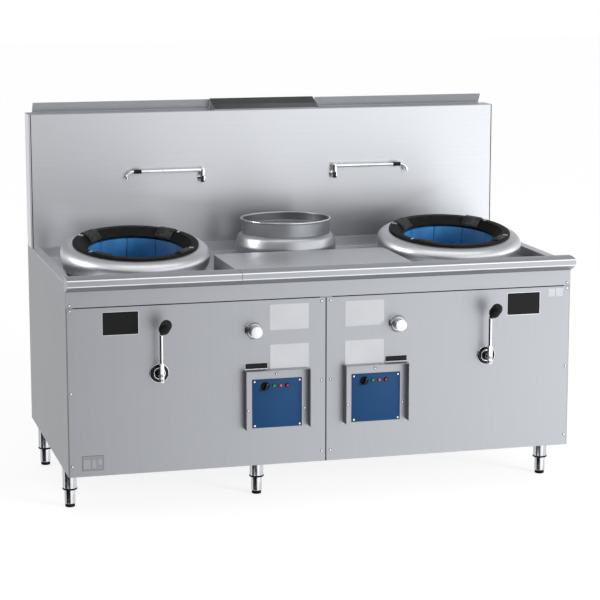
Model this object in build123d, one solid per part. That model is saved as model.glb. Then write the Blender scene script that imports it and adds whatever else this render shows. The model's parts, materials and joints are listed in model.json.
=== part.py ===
from build123d import *
import math
import os

os.makedirs("parts", exist_ok=True)

# All sizes are millimetres and degrees. The origin is on the floor, +X right, +Y to the wall, +Z up.
# Heights marked "over the underside" are counted from the cabinet's lower edge.

# Cabinet
WIDTH = 1800.0
CABINET_DEPTH = 914.0
LEG_HEIGHT = 150.0
SHEET = 1.5                  # cabinet sheet
FOLD = 25.0                  # folded edges of the side panels
PANEL_INSET = 3.5            # front panels short of the cabinet's sides
PANEL_SEAM = 1.6             # gap between the two front panels
FASCIA_HEIGHT = 54.5         # strip between the front panels and the nosing
FASCIA_GAP = 3.0             # dark line between panels and fascia
CUT = 1.0                    # overrun of a cut past the face it opens
TRAY_EDGE = 30.0             # upturned edge of the floor tray
BEARER_WIDTH = 50.0          # leg bearers on the floor tray
BEARER_HEIGHT = 25.0
POST_WIDTH = 44.0            # post behind the seam of the front panels
POST_DEPTH = 30.0

# Hob top
RIM_HEIGHT = 664.0           # side rims over the underside
RIM_WIDTH = 34.0
DECK_STEP = 22.0             # shelf and front nosing above the side rims
PAN_DEPTH = 39.0             # pan floor below the side rims
PAN_SHEET = 2.0
PAN_CORNER_R = 14.0
PAN_SEAM_X = -306.5          # joint of the two hob pans and of the two nosings
PAN_SEAM = 1.0
SHELF_HALF_WIDTH = 316.0
SHELF_DEPTH = 335.0
NOSE_BACK = 22.0             # nosing's back edge behind the front panels
NOSE_FLAT = 35.0             # level stretch of the nosing's top
NOSE_OVERHANG = 48.0         # nosing in front of the front panels
NOSE_DROP = 6.0              # fall of the sloping stretch
NOSE_FACE = 23.0             # height of the upright face
NOSE_UNDER = 22.0            # rise of the slanted underside
NOSE_LAP = 20.0              # back flange beside the pan's front wall

# Splashback and flue
SPLASH_HEIGHT = 1156.0       # roof over the underside
SPLASH_DEPTH = 102.0
CHEEK_RETURN = 6.0           # narrow folded front edge of each cheek
CHEEK_GAP = 2.0
FLUE_HALF_WIDTH = 201.0
FLUE_MARGIN = 12.0           # flue mouth behind the splashback's face
COWL_HEIGHT = 38.0
COWL_LEAN = 26.0
COWL_END = 26.0              # cowl short of the splashback's ends
DUCT_LENGTH = 430.0          # duct below the roof
FLUE_LIP = 4.0

# Legs and feet
LEG_SIDE_INSET = 30.0        # leg axis from the cabinet's side
LEG_FRONT_INSET = 182.0
LEG_REAR_INSET = 137.0
LEG_MIDDLE_X = -204.0
LEG_R = 25.0
LEG_WALL = 1.5
LEG_PLATE = 56.0
LEG_PLATE_SHEET = 3.0
COLLAR_TOP = 68.0            # collar's upper face over the floor
COLLAR_RING = 6.0
COLLAR_PROUD = 1.0
FOOT_R = 19.0
SOLE_R = 17.0
SOLE_HEIGHT = 12.0
STEM_R = 6.0
STEM_CLEARANCE = 0.3
STEM_LENGTH = 60.0
FOOT_GAP = 0.3

# Wok stations, tilted to the front
STATION_X = 585.5
STATION_INSET = 404.0        # ring centre behind the front panels
RING_RISE = 71.0             # ring centre over the side rims
TILT = 7.3
RING_R = 223.0
RING_FLAT_R = 197.0          # inner edge of the ring's flat top
RING_BORE_R = 168.0
RING_CONE_DEPTH = 27.0
RING_EDGE = 8.0              # upright outer edge
RING_WALL = 8.0
SPIGOT_R = 213.0
SPIGOT_DEPTH = 22.0
PAD_COUNT = 4
PAD_WIDTH = 62.0
PAD_RISE = 4.0               # pads above the ring's top
PAD_DROP = 16.0              # pads' inner ends below the ring's top
PAD_INNER_R = 172.0
PAD_OUTER_R = 217.0
PAD_FLAT = 7.0               # level outer end of each pad
PAD_ROOT = 2.0               # pads' depth in the ring's metal

DOME_SHIFT = 18.0            # dome axis behind the ring centre
DOME_R = 265.0
DOME_BULGE = 65.0            # widest circle over the pan floor
DOME_BASE_R = 236.0
DOME_NECK = 32.0             # upright skirt of the dome
DOME_LIP_R = 219.0
DOME_FULLNESS = 0.75         # under 1 rounds the dome's shoulder outwards
DOME_WALL = 3.0
DOME_LOWER = (90, 45, 0)     # turns round the bulge at which the skin is drawn, up to its widest circle
DOME_UPPER = (30, 60, 90)    # and from there to the lip
LEDGE_R = 199.0              # bore below the ledge that carries the chamber
DOME_HOLE_R = 213.0          # hole in the pan below a dome
LEDGE_DEPTH = 42.0
SEAT_GAP = 0.3               # lift-off pieces over their seats

LINER_TOP = 36.0             # lining below the ring's top plane
LINER_BOTTOM = 150.0
LINER_R = 170.0
LINER_OUTER_R = 190.0
LINER_COUNT = 10
LINER_JOINT = 1.6
SHELL_WALL = 3.0
SHELL_FLANGE = 3.0
SHELL_HOLE_R = 46.0
BURNER_R = 62.0
BURNER_HEIGHT = 26.0
BURNER_CAP_R = 30.0
BURNER_RIM = 16.0            # upright edge of the burner's head
BURNER_PORT_COUNT = 12
PORT_WIDTH = 8.0
PORT_HEIGHT = 12.0
VENTURI_R = 20.0
VENTURI_LENGTH = 96.0
VENTURI_GAP = 6.0            # injector gap, open to the air

# Pot station
POT_INSET = 549.0            # pot axis behind the front panels
POT_RIM_RISE = 118.0         # pot ring's rim over the side rims
POT_RIM_R = 166.0
POT_RIM_LIP = 6.0            # height of the turned-out rim
POT_COLLAR_R = 161.0
POT_COLLAR_HEIGHT = 54.0
POT_WALL = 2.5
POT_FLANGE_DEPTH = 33.0
POT_FLANGE_HOLE_R = 90.0
POT_SPIGOT = 14.0
POT_SPIGOT_R = 147.0
POT_DOME_R = 184.0
POT_DOME_NECK_R = 166.0
POT_DOME_TOP_R = 163.0
POT_DOME_NECK = 30.0
POT_DOME_BULGE = 66.0        # widest circle over the pan floor
POT_SHOULDER = 4.0           # shoulder inside the widest circle
POT_SHOULDER_SHARE = 0.6     # shoulder's height between the widest circle and the top
POT_BORE_R = 150.0
POT_WELL_DEPTH = 120.0       # welded well below the pan floor

# Knee levers and gas valves
LEVER_HEIGHT = 344.0         # lever axis over the underside
HUB_STEPS = ((33.5, 4.0), (23.0, 8.0))
SPINDLE_R = 9.0
SPINDLE_CLEARANCE = 0.05
SPINDLE_HOLE_CLEARANCE = 3.0 # hole in the front panel round the spindle
SPINDLE_DEPTH = 44.0
SPINDLE_END_GAP = 2.0
LEVER_STANDOFF = 42.0
LEVER_BAR_WIDTH = 16.0
LEVER_BAR_THICKNESS = 12.0
LEVER_BAR_BELOW = 33.0
LEVER_BAR_ABOVE = 42.0
LEVER_ROD_R = 6.0
LEVER_ROD_TOP = 140.0
LEVER_BEND_R = 10.0
FERRULE_LENGTH = 16.0
FERRULE_R = 8.0
KNOB_LEAN = 45.0             # knob axis from upright
KNOB_HEADING = 16.0          # knob axis to the right of straight out
KNOB_R = 19.0
KNOB_LENGTH = 54.0
KNOB_ROUND = 8.0
KNOB_FLAT_COUNT = 12
VALVE_WIDTH = 50.0
VALVE_HEIGHT = 60.0
VALVE_DEPTH = 62.0
GAS_PIPE_R = 13.5
GAS_MAIN_DROP = 170.0        # gas main below the lever axis
PIPE_CLEARANCE = 6.0         # gas main behind the post
FITTING_WALL = 3.0
GAS_INLET_INSET = 110.0      # gas inlet from the cabinet's right side
INLET_BORE_R = 12.1
INLET_BORE_DEPTH = 20.0
INLET_SOCKET_R = 19.0
INLET_SOCKET = 30.0
SOCKET_CLEARANCE = 1.0       # hole in the rear sheet round a socket

# Water taps and spouts
TAP_X = 257.0
TAP_HEIGHT = 475.0
TAP_FLANGE_R = 32.0
TAP_FLANGE = 5.0
TAP_COLLAR_R = 24.0
TAP_COLLAR = 16.0
TAP_BODY_R = 21.0
TAP_BODY = 55.0
BUTTON_R = 20.0
BUTTON_CLEARANCE = 0.3
BUTTON_REACH = 48.0
BUTTON_BACK = 14.0
BUTTON_TRAVEL = 10.0
BUTTON_STOP_GAP = 1.0        # behind the button at the end of its travel
BUTTON_STEM_R = 6.0
BUTTON_STEM = 34.0
WATER_PIPE_R = 9.0
WATER_INLET_BORE_R = 7.5
WATER_INLET_X = -60.0
WATER_RISER_INSET = 30.0     # risers behind the splashback's face

SPOUT_HEIGHT = 938.0         # spout tube over the underside
SPOUT_STANDOFF = 22.0
ROSETTE_R = 15.0
ROSETTE = 4.0
BRACKET_R = 8.0
BRACKET_STUB_R = 6.5
SPOUT_STUB_R = 8.0           # water pipe behind the splashback's hole
BRACKET_DROP = 33.0          # wall stub below the spout tube
BRACKET_BELOW = 12.0
BRACKET_ABOVE = 10.0
PIVOT_R = 5.0
PIVOT_CLEARANCE = 0.05
PIVOT_LENGTH = 20.0
SPOUT_HUB_TOP = 9.0
SPOUT_R = 6.5
SPOUT_THIN_R = 5.5
SPOUT_STEP = 150.0
SPOUT_REACH = 232.0
SLEEVE_R = 7.5
SLEEVE_LENGTH = 29.0
TIP_BEND_R = 26.0
TIP_BORE_R = 4.0
TIP_BORE_DEPTH = 8.0

# Control boxes
GUARD_CENTRE_X = 177.5
GUARD_WIDTH = 228.0
GUARD_BOTTOM = 132.0         # over the underside
GUARD_HEIGHT = 206.0
GUARD_DEPTH = 35.0
PLATE_WIDTH = 176.0
PLATE_HEIGHT = 171.0
PLATE_THICKNESS = 2.0
PLATE_SHIFT = 2.5            # plate centre right of the guard's centre
CONTROL_ROW = 146.0          # control axes over the plate's lower edge
SELECTOR_OFFSET = 46.0       # from the plate's left edge
LAMP_OFFSET = 77.0
LAMP_PITCH = 23.2
SELECTOR_R = 15.0
SELECTOR_DEPTH = 17.0
SELECTOR_GRIP = 7.0
SELECTOR_MARGIN = 1.0        # grip short of the skirt's edge
SHAFT_R = 3.0
SHAFT_CLEARANCE = 0.05
SHAFT_HOLE_CLEARANCE = 1.0   # hole in the plate round the shaft
SHAFT_LENGTH = 20.0
SHAFT_END_GAP = 2.0
LAMP_R = 6.5
LAMP_DEPTH = 4.0
RESET_R = 5.0
RESET_PROUD = 6.0
RESET_TRAVEL = 3.0
RESET_CLEARANCE = 0.3
MODULE_WIDTH = 150.0
MODULE_HEIGHT = 110.0
MODULE_DEPTH = 60.0
WINDOW_MARGIN = 12.0         # panel cut-out round the row of controls

# Places worked out from the sizes above
LEAN_RUN = math.sin(math.radians(KNOB_LEAN)) * math.cos(math.radians(KNOB_HEADING))
LEAN_SIDE = math.sin(math.radians(KNOB_LEAN)) * math.sin(math.radians(KNOB_HEADING))
LEAN_RISE = math.cos(math.radians(KNOB_LEAN))
KNOB_CROSS = math.sqrt(1 - LEAN_RUN ** 2)
KNOB_TIP = (FERRULE_LENGTH + KNOB_LENGTH) * LEAN_RUN + (KNOB_R - KNOB_ROUND) * KNOB_CROSS
KNOB_FLANK = (FERRULE_LENGTH + KNOB_LENGTH - KNOB_ROUND) * LEAN_RUN + KNOB_R * KNOB_CROSS
LEVER_REACH = LEVER_STANDOFF + max(KNOB_TIP, KNOB_FLANK)
FRONT = -(CABINET_DEPTH - LEVER_REACH) / 2
BACK = FRONT + CABINET_DEPTH
SPLASH_Y = BACK - SPLASH_DEPTH
SIDE = WIDTH / 2
UNDER = LEG_HEIGHT
RIM = UNDER + RIM_HEIGHT
DECK = RIM + DECK_STEP
PAN = RIM - PAN_DEPTH
ROOF = UNDER + SPLASH_HEIGHT
NOSE_TIP = FRONT - NOSE_OVERHANG
NOSE_LOW = DECK - NOSE_DROP - NOSE_FACE
FASCIA_TOP = NOSE_LOW - NOSE_UNDER
FASCIA_BOTTOM = FASCIA_TOP - FASCIA_HEIGHT
PANEL_TOP = FASCIA_BOTTOM - FASCIA_GAP
STATION_Y = FRONT + STATION_INSET
RING_Z = RIM + RING_RISE
DOME_Y = STATION_Y + DOME_SHIFT
DOME_Z = PAN + DOME_BULGE
POT_Y = FRONT + POT_INSET
POT_RIM = RIM + POT_RIM_RISE
POT_SEAT = POT_RIM - POT_COLLAR_HEIGHT
LEVER_Z = UNDER + LEVER_HEIGHT
MAIN_Z = LEVER_Z - GAS_MAIN_DROP
GAS_INLET_X = SIDE - GAS_INLET_INSET
TAP_Z = UNDER + TAP_HEIGHT
SPOUT_Z = UNDER + SPOUT_HEIGHT
SPOUT_Y = SPLASH_Y - SPOUT_STANDOFF
BRACKET_Z = SPOUT_Z - BRACKET_DROP
RISER_Y = SPLASH_Y + WATER_RISER_INSET
GUARD_Z = UNDER + GUARD_BOTTOM
CONTROL_Z = GUARD_Z + CONTROL_ROW
PLATE_FACE = FRONT - SHEET - PLATE_THICKNESS
LEG_X = (-(SIDE - LEG_SIDE_INSET), LEG_MIDDLE_X, SIDE - LEG_SIDE_INSET)
LEG_Y = (FRONT + LEG_FRONT_INSET, BACK - LEG_REAR_INSET)
COLLAR_BOTTOM = COLLAR_TOP - COLLAR_RING
SIDES = (("left", -1), ("right", 1))


def block(x0, x1, y0, y1, z0, z1):
    """Upright box between two corners, given in any order."""
    size = (abs(x1 - x0), abs(y1 - y0), abs(z1 - z0))
    return Pos((x0 + x1) / 2, (y0 + y1) / 2, (z0 + z1) / 2) * Box(*size)


def rod(start, end, radius):
    """Round bar from one point to another."""
    along = Vector(*end) - Vector(*start)
    return Plane(origin=start, z_dir=along) * extrude(Circle(radius), along.length)


def turned(points):
    """Solid turned about the Z axis from (radius, height) corners."""
    return revolve(Plane.XZ * make_face(Polyline(*points, close=True)), Axis.Z)


def folded(points, sheet):
    """Section of a folded sheet: it follows the points and lies to the left of their run."""
    runs = [(Vector(*b) - Vector(*a)).normalized() for a, b in zip(points, points[1:])]
    lefts = [Vector(-run.Y, run.X) for run in runs]
    inner = [Vector(*points[0]) + lefts[0] * sheet]
    for corner, before, after in zip(points[1:-1], lefts, lefts[1:]):
        mitre = (before + after) * (sheet / (1 + before.dot(after)))
        inner.append(Vector(*corner) + mitre)
    inner.append(Vector(*points[-1]) + lefts[-1] * sheet)
    outline = [Vector(*p) for p in points] + inner[::-1]
    return make_face(Polyline(*outline, close=True))


def along_x(section, x0, x1):
    """Section drawn in (Y, Z), pulled from x0 to x1."""
    return extrude(Plane.YZ.offset(x0) * section, x1 - x0)


def along_z(section, z0, z1):
    """Section drawn in (X, Y), pulled from z0 to z1."""
    return extrude(Plane.XY.offset(z0) * section, z1 - z0)


def station_frame(side):
    """Frame of a wok station: origin at the ring's centre, +Z square to the tilted ring."""
    return Pos(side * STATION_X, STATION_Y, RING_Z) * Rot(TILT, 0, 0)


def guard_centre(side):
    return side * GUARD_CENTRE_X


def control_x(side, offset):
    """X of a control that lies the given distance from its plate's left edge."""
    return guard_centre(side) + PLATE_SHIFT - PLATE_WIDTH / 2 + offset


def lamp_x(side, number):
    return control_x(side, LAMP_OFFSET + number * LAMP_PITCH)


def base_tray():
    """Floor tray with upturned edges, and the three bearers on it over the rows of legs."""
    half = SIDE - SHEET
    tray = block(-half, half, FRONT + 2 * SHEET, BACK - 2 * SHEET, UNDER, UNDER + TRAY_EDGE)
    tray -= block(-half + SHEET, half - SHEET, FRONT + 3 * SHEET, BACK - 3 * SHEET,
                  UNDER + SHEET, UNDER + TRAY_EDGE)
    pieces = [tray]
    top = UNDER + SHEET + BEARER_HEIGHT
    for x in (LEG_X[0] + LEG_PLATE / 4, LEG_X[1], LEG_X[2] - LEG_PLATE / 4):
        section = folded([(BEARER_WIDTH / 2, UNDER + SHEET), (BEARER_WIDTH / 2, top),
                          (-BEARER_WIDTH / 2, top), (-BEARER_WIDTH / 2, UNDER + SHEET)], 2 * SHEET)
        bearer = extrude(Plane.XZ * section, -(LEG_Y[1] - LEG_Y[0] + LEG_PLATE))
        pieces.append(Pos(x, LEG_Y[0] - LEG_PLATE / 2, 0) * bearer)
    return pieces


def centre_post():
    half = POST_WIDTH / 2
    front = FRONT + SHEET
    back = front + POST_DEPTH
    section = folded([(-half, back), (-half, front), (half, front), (half, back)], SHEET)
    post = along_z(section, UNDER + SHEET, FASCIA_BOTTOM)
    return post - block(-half, half, front, FRONT + 3 * SHEET, UNDER, UNDER + TRAY_EDGE)


def side_panel(side):
    outer = side * SIDE
    inner = side * (SIDE - FOLD)
    points = [(inner, FRONT + SHEET), (outer, FRONT + SHEET), (outer, BACK - SHEET), (inner, BACK - SHEET)]
    if side < 0:
        points.reverse()
    panel = along_z(folded(points, SHEET), UNDER, RIM - PAN_SHEET)
    return panel - block(outer, inner, FRONT, FRONT + NOSE_BACK, FASCIA_TOP, RIM)


def rear_panels():
    """Lower sheet with the two supply holes, and the upper sheet behind the splashback."""
    panel = block(-SIDE, SIDE, BACK - SHEET, BACK, UNDER, RIM - PAN_SHEET)
    holes = [(GAS_INLET_X, MAIN_Z, INLET_SOCKET_R), (WATER_INLET_X, TAP_Z, WATER_PIPE_R + FITTING_WALL)]
    for x, z, radius in holes:
        panel -= rod((x, BACK + CUT, z), (x, BACK - SHEET - CUT, z), radius + SOCKET_CLEARANCE)
    return [panel, block(-SIDE, SIDE, BACK - SHEET, BACK, RIM, ROOF)]


def control_window(side, y0, y1, margin):
    """Cut-out behind one row of controls."""
    low = control_x(side, SELECTOR_OFFSET) - margin
    high = lamp_x(side, 2) + margin
    return block(low, high, y0, y1, CONTROL_Z - margin, CONTROL_Z + margin)


def front_panel(side):
    near = side * PANEL_SEAM / 2
    far = side * (SIDE - PANEL_INSET)
    panel = block(near, far, FRONT, FRONT + SHEET, UNDER, PANEL_TOP)
    front, back = FRONT - CUT, FRONT + SHEET + CUT
    x, tap = side * STATION_X, side * TAP_X
    panel -= rod((x, front, LEVER_Z), (x, back, LEVER_Z), SPINDLE_R + SPINDLE_HOLE_CLEARANCE)
    panel -= rod((tap, front, TAP_Z), (tap, back, TAP_Z), TAP_BODY_R + BUTTON_CLEARANCE)
    return panel - control_window(side, front, back, WINDOW_MARGIN)


def front_fascia():
    section = folded([(FRONT + FOLD, FASCIA_BOTTOM), (FRONT, FASCIA_BOTTOM), (FRONT, FASCIA_TOP)], -SHEET)
    body = along_x(section, -SIDE, SIDE)
    for side in (-1, 1):
        body -= block(side * SIDE, side * (SIDE - FOLD - CUT), FRONT + SHEET, FRONT + FOLD + CUT,
                      FASCIA_BOTTOM - CUT, FASCIA_TOP)
    return body


def pan_outline(x0, x1, grow, front, back):
    """Plan of the sunken pan between x0 and x1, enlarged by grow, with rounded corners."""
    wide, deep = 2 * (SIDE - RIM_WIDTH + grow), back - front + 2 * grow
    middle = (front + back) / 2
    plan = Pos(0, middle) * RectangleRounded(wide, deep, PAN_CORNER_R + grow)
    return plan & (Pos((x0 + x1) / 2, middle) * Rectangle(x1 - x0, 2 * CABINET_DEPTH))


def hob_pan(x0, x1, holes):
    """Pressed pan with its side rim, floor and walls; holes are (x, y, radius)."""
    front = FRONT + NOSE_BACK + PAN_SHEET
    back = SPLASH_Y
    wall = along_z(pan_outline(x0, x1, PAN_SHEET, front, back), PAN - PAN_SHEET, RIM)
    rim_low, rim_high = (-SIDE, -SIDE + RIM_WIDTH) if x0 < -SIDE + RIM_WIDTH else (SIDE - RIM_WIDTH, SIDE)
    body = wall + block(rim_low, rim_high, FRONT + NOSE_BACK, BACK, RIM - PAN_SHEET, RIM)
    body -= along_z(pan_outline(x0 - CUT, x1 + CUT, 0, front, back), PAN, RIM + CUT)
    for x, y, radius in holes:
        body -= Pos(x, y, PAN) * Cylinder(radius, 4 * PAN_SHEET)
    return body


def hob_pan_left():
    return hob_pan(-SIDE, PAN_SEAM_X - PAN_SEAM / 2, [(-STATION_X, DOME_Y, DOME_HOLE_R)])


def hob_pan_right():
    """Right pan with the pot station's well: pan, well wall and well floor, welded where they meet."""
    holes = [(STATION_X, DOME_Y, DOME_HOLE_R), (0, POT_Y, POT_BORE_R)]
    pan = hob_pan(PAN_SEAM_X + PAN_SEAM / 2, SIDE, holes)
    outer, top = POT_BORE_R + PAN_SHEET, PAN - PAN_SHEET
    low = PAN - POT_WELL_DEPTH
    floor = low + PAN_SHEET
    wall = turned([(POT_BORE_R, top), (outer, top), (outer, floor), (POT_BORE_R, floor)])
    bottom = turned([(0, low), (outer, low), (outer, floor), (0, floor)])
    return [pan, Pos(0, POT_Y, 0) * wall, Pos(0, POT_Y, 0) * bottom]


def work_shelf():
    front = FRONT + NOSE_BACK + PAN_SHEET
    back = front + SHELF_DEPTH
    half = SHELF_HALF_WIDTH
    shelf = block(-half, half, front, back, PAN, DECK)
    shelf = fillet(shelf.edges().filter_by(Axis.Z).group_by(Axis.Y)[-1], PAN_CORNER_R)
    half -= PAN_SHEET
    inner = block(-half, half, front + PAN_SHEET, back - PAN_SHEET, PAN, DECK - PAN_SHEET)
    inner = fillet(inner.edges().filter_by(Axis.Z).group_by(Axis.Y)[-1], PAN_CORNER_R - PAN_SHEET)
    return shelf - inner


def nosing(x0, x1, capped_end):
    """Raised front edge: level, sloping, upright and slanted stretches, closed at one end."""
    back = FRONT + NOSE_BACK
    corners = [(back, RIM - NOSE_LAP), (back, DECK), (back - NOSE_FLAT, DECK), (NOSE_TIP, DECK - NOSE_DROP),
               (NOSE_TIP, NOSE_LOW), (FRONT, FASCIA_TOP), (back, FASCIA_TOP)]
    body = along_x(folded(corners, SHEET), x0, x1)
    cap = along_x(make_face(Polyline(*corners, close=True)), capped_end - SHEET, capped_end)
    return body + (cap if capped_end > 0 else Pos(SHEET, 0, 0) * cap)


def splash_front():
    half = SIDE - CHEEK_RETURN - CHEEK_GAP
    sheet = block(-half, half, SPLASH_Y, SPLASH_Y + SHEET, RIM, ROOF - SHEET)
    for _, side in SIDES:
        x = side * TAP_X
        sheet -= rod((x, SPLASH_Y - CUT, BRACKET_Z), (x, SPLASH_Y + SHEET + CUT, BRACKET_Z), WATER_PIPE_R)
    return sheet


def splash_cheeks():
    cheeks = []
    for side in (-1, 1):
        inner, outer = side * (SIDE - CHEEK_RETURN), side * SIDE
        section = folded([(inner, SPLASH_Y), (outer, SPLASH_Y), (outer, BACK - SHEET)], side * SHEET)
        cheeks.append(along_z(section, RIM, ROOF))
    return cheeks


def flue_mouth(grow):
    """Flue opening, from its front lip to the rear sheet."""
    half = FLUE_HALF_WIDTH + grow
    return -half, half, SPLASH_Y + FLUE_MARGIN - grow, BACK - 2 * SHEET + grow


def splash_roof():
    half = SIDE - SHEET
    low = ROOF - SHEET
    roof = block(-half, half, SPLASH_Y, BACK - SHEET, low, ROOF)
    for side in (-1, 1):
        roof -= block(side * half, side * (SIDE - CHEEK_RETURN), SPLASH_Y, SPLASH_Y + SHEET, low, ROOF)
    return roof - block(*flue_mouth(SHEET), low - CUT, ROOF + CUT)


def flue_duct():
    """Duct from inside the splashback, cut off at a slant from its front lip to its tall back."""
    x0, x1, y0, y1 = flue_mouth(SHEET)
    low, top, lip = ROOF - DUCT_LENGTH, ROOF + COWL_HEIGHT, ROOF + FLUE_LIP
    duct = block(x0, x1, y0, y1, low, top)
    duct -= block(*flue_mouth(0), low - CUT, top + CUT)
    near = y0 - CUT
    slope = make_face(Polyline((y1 - SHEET, top), (near, top), (near, lip), (y0 + CUT, lip), close=True))
    return duct - along_x(slope, x0 - CUT, x1 + CUT)


def flue_cowl():
    base = BACK - SHEET
    tip = (base - COWL_LEAN, ROOF + COWL_HEIGHT)
    section = folded([(base - COWL_LEAN / 2, ROOF), (base, ROOF), tip], SHEET)
    strips = []
    for side in (-1, 1):
        near = side * (FLUE_HALF_WIDTH + 2 * SHEET)
        far = side * (SIDE - COWL_END)
        strips.append(along_x(section, min(near, far), max(near, far)))
    return strips


def leg_tubes():
    tubes = []
    for x in LEG_X:
        for y in LEG_Y:
            tube = turned([(LEG_R - LEG_WALL, COLLAR_TOP), (LEG_R, COLLAR_TOP),
                           (LEG_R, UNDER - LEG_PLATE_SHEET), (LEG_R - LEG_WALL, UNDER - LEG_PLATE_SHEET)])
            plate = Pos(0, 0, UNDER - LEG_PLATE_SHEET / 2) * Box(LEG_PLATE, LEG_PLATE, LEG_PLATE_SHEET)
            tubes.append(Pos(x, y, 0) * (tube + plate))
    return tubes


def leg_collars():
    bore, rim = STEM_R + STEM_CLEARANCE, LEG_R + COLLAR_PROUD
    points = [(bore, COLLAR_BOTTOM), (rim, COLLAR_BOTTOM), (rim, COLLAR_TOP), (bore, COLLAR_TOP)]
    return [Pos(x, y, 0) * turned(points) for x in LEG_X for y in LEG_Y]


def foot(x, y):
    """Adjustable foot: sole, body and the stem that screws into the collar."""
    top = COLLAR_BOTTOM - FOOT_GAP
    points = [(0, 0), (SOLE_R, 0), (SOLE_R, SOLE_HEIGHT), (FOOT_R, SOLE_HEIGHT), (FOOT_R, top),
              (STEM_R, top), (STEM_R, top + STEM_LENGTH), (0, top + STEM_LENGTH)]
    return Pos(x, y, 0) * turned(points)


def ring_pad(angle):
    """Raised pad on the ring's cone."""
    face = make_face(Polyline((PAD_INNER_R, PAD_ROOT - RING_CONE_DEPTH), (PAD_INNER_R, -PAD_DROP),
                              (PAD_OUTER_R - PAD_FLAT, PAD_RISE), (PAD_OUTER_R, PAD_RISE),
                              (PAD_OUTER_R, -PAD_ROOT), (RING_FLAT_R, -PAD_ROOT), close=True))
    pad = extrude(Plane.XZ * face, PAD_WIDTH / 2, both=True)
    return Rot(0, 0, angle) * pad


def wok_ring(side):
    """Cast ring: flat top, inner cone, spigot and four raised pads."""
    points = [(RING_FLAT_R, 0), (RING_R, 0), (RING_R, -RING_EDGE), (SPIGOT_R, -RING_EDGE),
              (SPIGOT_R, -SPIGOT_DEPTH), (RING_BORE_R + RING_WALL, -RING_CONE_DEPTH - RING_WALL / 2),
              (RING_BORE_R, -RING_CONE_DEPTH)]
    ring = turned(points)
    for number in range(PAD_COUNT):
        ring += ring_pad((number + 0.5) * 360 / PAD_COUNT)
    return station_frame(side) * ring


def dome_circle(side, radius, height, share):
    """Circle of the dome's skin; share runs from 0, level, to 1, square to the tilted ring."""
    lip = station_frame(side) * Pos(0, 0, -RING_EDGE - SEAT_GAP)
    y = DOME_Y + (lip.position.Y - DOME_Y) * share
    return Pos(side * STATION_X, y, height) * Rot(TILT * share, 0, 0) * Circle(radius)


def dome_form(side, inset, lower, upper):
    """Body inside the dome's skin: a level bulge on an upright skirt, rising to the tilted lip."""
    neck = PAN + DOME_NECK
    lip_height = (station_frame(side) * Pos(0, 0, -RING_EDGE - SEAT_GAP)).position.Z
    sections = []
    for turn in lower:
        out, down = math.cos(math.radians(turn)), math.sin(math.radians(turn))
        radius = DOME_BASE_R + (DOME_R - DOME_BASE_R) * out
        sections.append(dome_circle(side, radius - inset, DOME_Z - (DOME_Z - neck) * down, 0))
    for turn in upper:
        out = abs(math.cos(math.radians(turn))) ** DOME_FULLNESS
        rise = math.sin(math.radians(turn)) ** DOME_FULLNESS
        radius = DOME_LIP_R + (DOME_R - DOME_LIP_R) * out
        sections.append(dome_circle(side, radius - inset, DOME_Z + (lip_height - DOME_Z) * rise, rise))
    skirt = Pos(side * STATION_X, DOME_Y, PAN + DOME_NECK / 2) * Cylinder(DOME_BASE_R - inset, DOME_NECK)
    return loft(sections, ruled=True) + skirt


def wok_dome(side):
    """Spun dome, hollow and open at both ends, with the ledge inside it that carries the chamber."""
    dome = dome_form(side, 0, DOME_LOWER, DOME_UPPER)
    dome -= dome_form(side, DOME_WALL, DOME_LOWER[::2], DOME_UPPER[1:])
    ledge = Cylinder(DOME_R, DOME_WALL) - Cylinder(LEDGE_R, DOME_WALL)
    ledge = station_frame(side) * Pos(0, 0, -LEDGE_DEPTH - DOME_WALL / 2) * ledge
    return dome + (ledge & dome_form(side, DOME_WALL / 2, DOME_LOWER, DOME_UPPER))


def chamber_liner(side):
    """Fire-clay lining of wedge blocks with open joints."""
    ring = turned([(LINER_R, -LINER_TOP), (LINER_OUTER_R, -LINER_TOP), (LINER_OUTER_R, -LINER_BOTTOM),
                   (LINER_R, -LINER_BOTTOM)])
    for number in range(LINER_COUNT):
        joint = Pos(LINER_R, 0, -LINER_BOTTOM / 2) * Box(LINER_R, LINER_JOINT, 2 * LINER_BOTTOM)
        ring -= Rot(0, 0, (number + 0.5) * 360 / LINER_COUNT) * joint
    return (station_frame(side) * ring).solids()


def chamber_shell(side):
    inner = LINER_OUTER_R + SEAT_GAP
    outer = inner + SHELL_WALL
    flange_r = DOME_LIP_R - DOME_WALL - SEAT_GAP
    top, low = SHELL_FLANGE - LEDGE_DEPTH, -LINER_BOTTOM - SHELL_WALL
    points = [(inner, top), (flange_r, top), (flange_r, -LEDGE_DEPTH), (outer, -LEDGE_DEPTH), (outer, low),
              (SHELL_HOLE_R, low), (SHELL_HOLE_R, -LINER_BOTTOM), (inner, -LINER_BOTTOM)]
    return station_frame(side) * turned(points)


def burner(side):
    """Burner head on a venturi tube: a ring of slots round a raised cap."""
    base = -LINER_BOTTOM
    end, top = base - VENTURI_LENGTH, base + BURNER_HEIGHT
    head = turned([(0, end), (VENTURI_R, end), (VENTURI_R, base), (BURNER_R, base),
                   (BURNER_R, base + BURNER_RIM), (BURNER_CAP_R, top), (0, top)])
    for number in range(BURNER_PORT_COUNT):
        port = Pos(BURNER_R, 0, base + BURNER_RIM) * Box(BURNER_CAP_R, PORT_WIDTH, PORT_HEIGHT)
        head -= Rot(0, 0, number * 360 / BURNER_PORT_COUNT) * port
    return station_frame(side) * head


def venturi_end(side):
    """Lower end of the burner's tube, where the gas pipe meets it."""
    return (station_frame(side) * Pos(0, 0, -LINER_BOTTOM - VENTURI_LENGTH)).position


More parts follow.
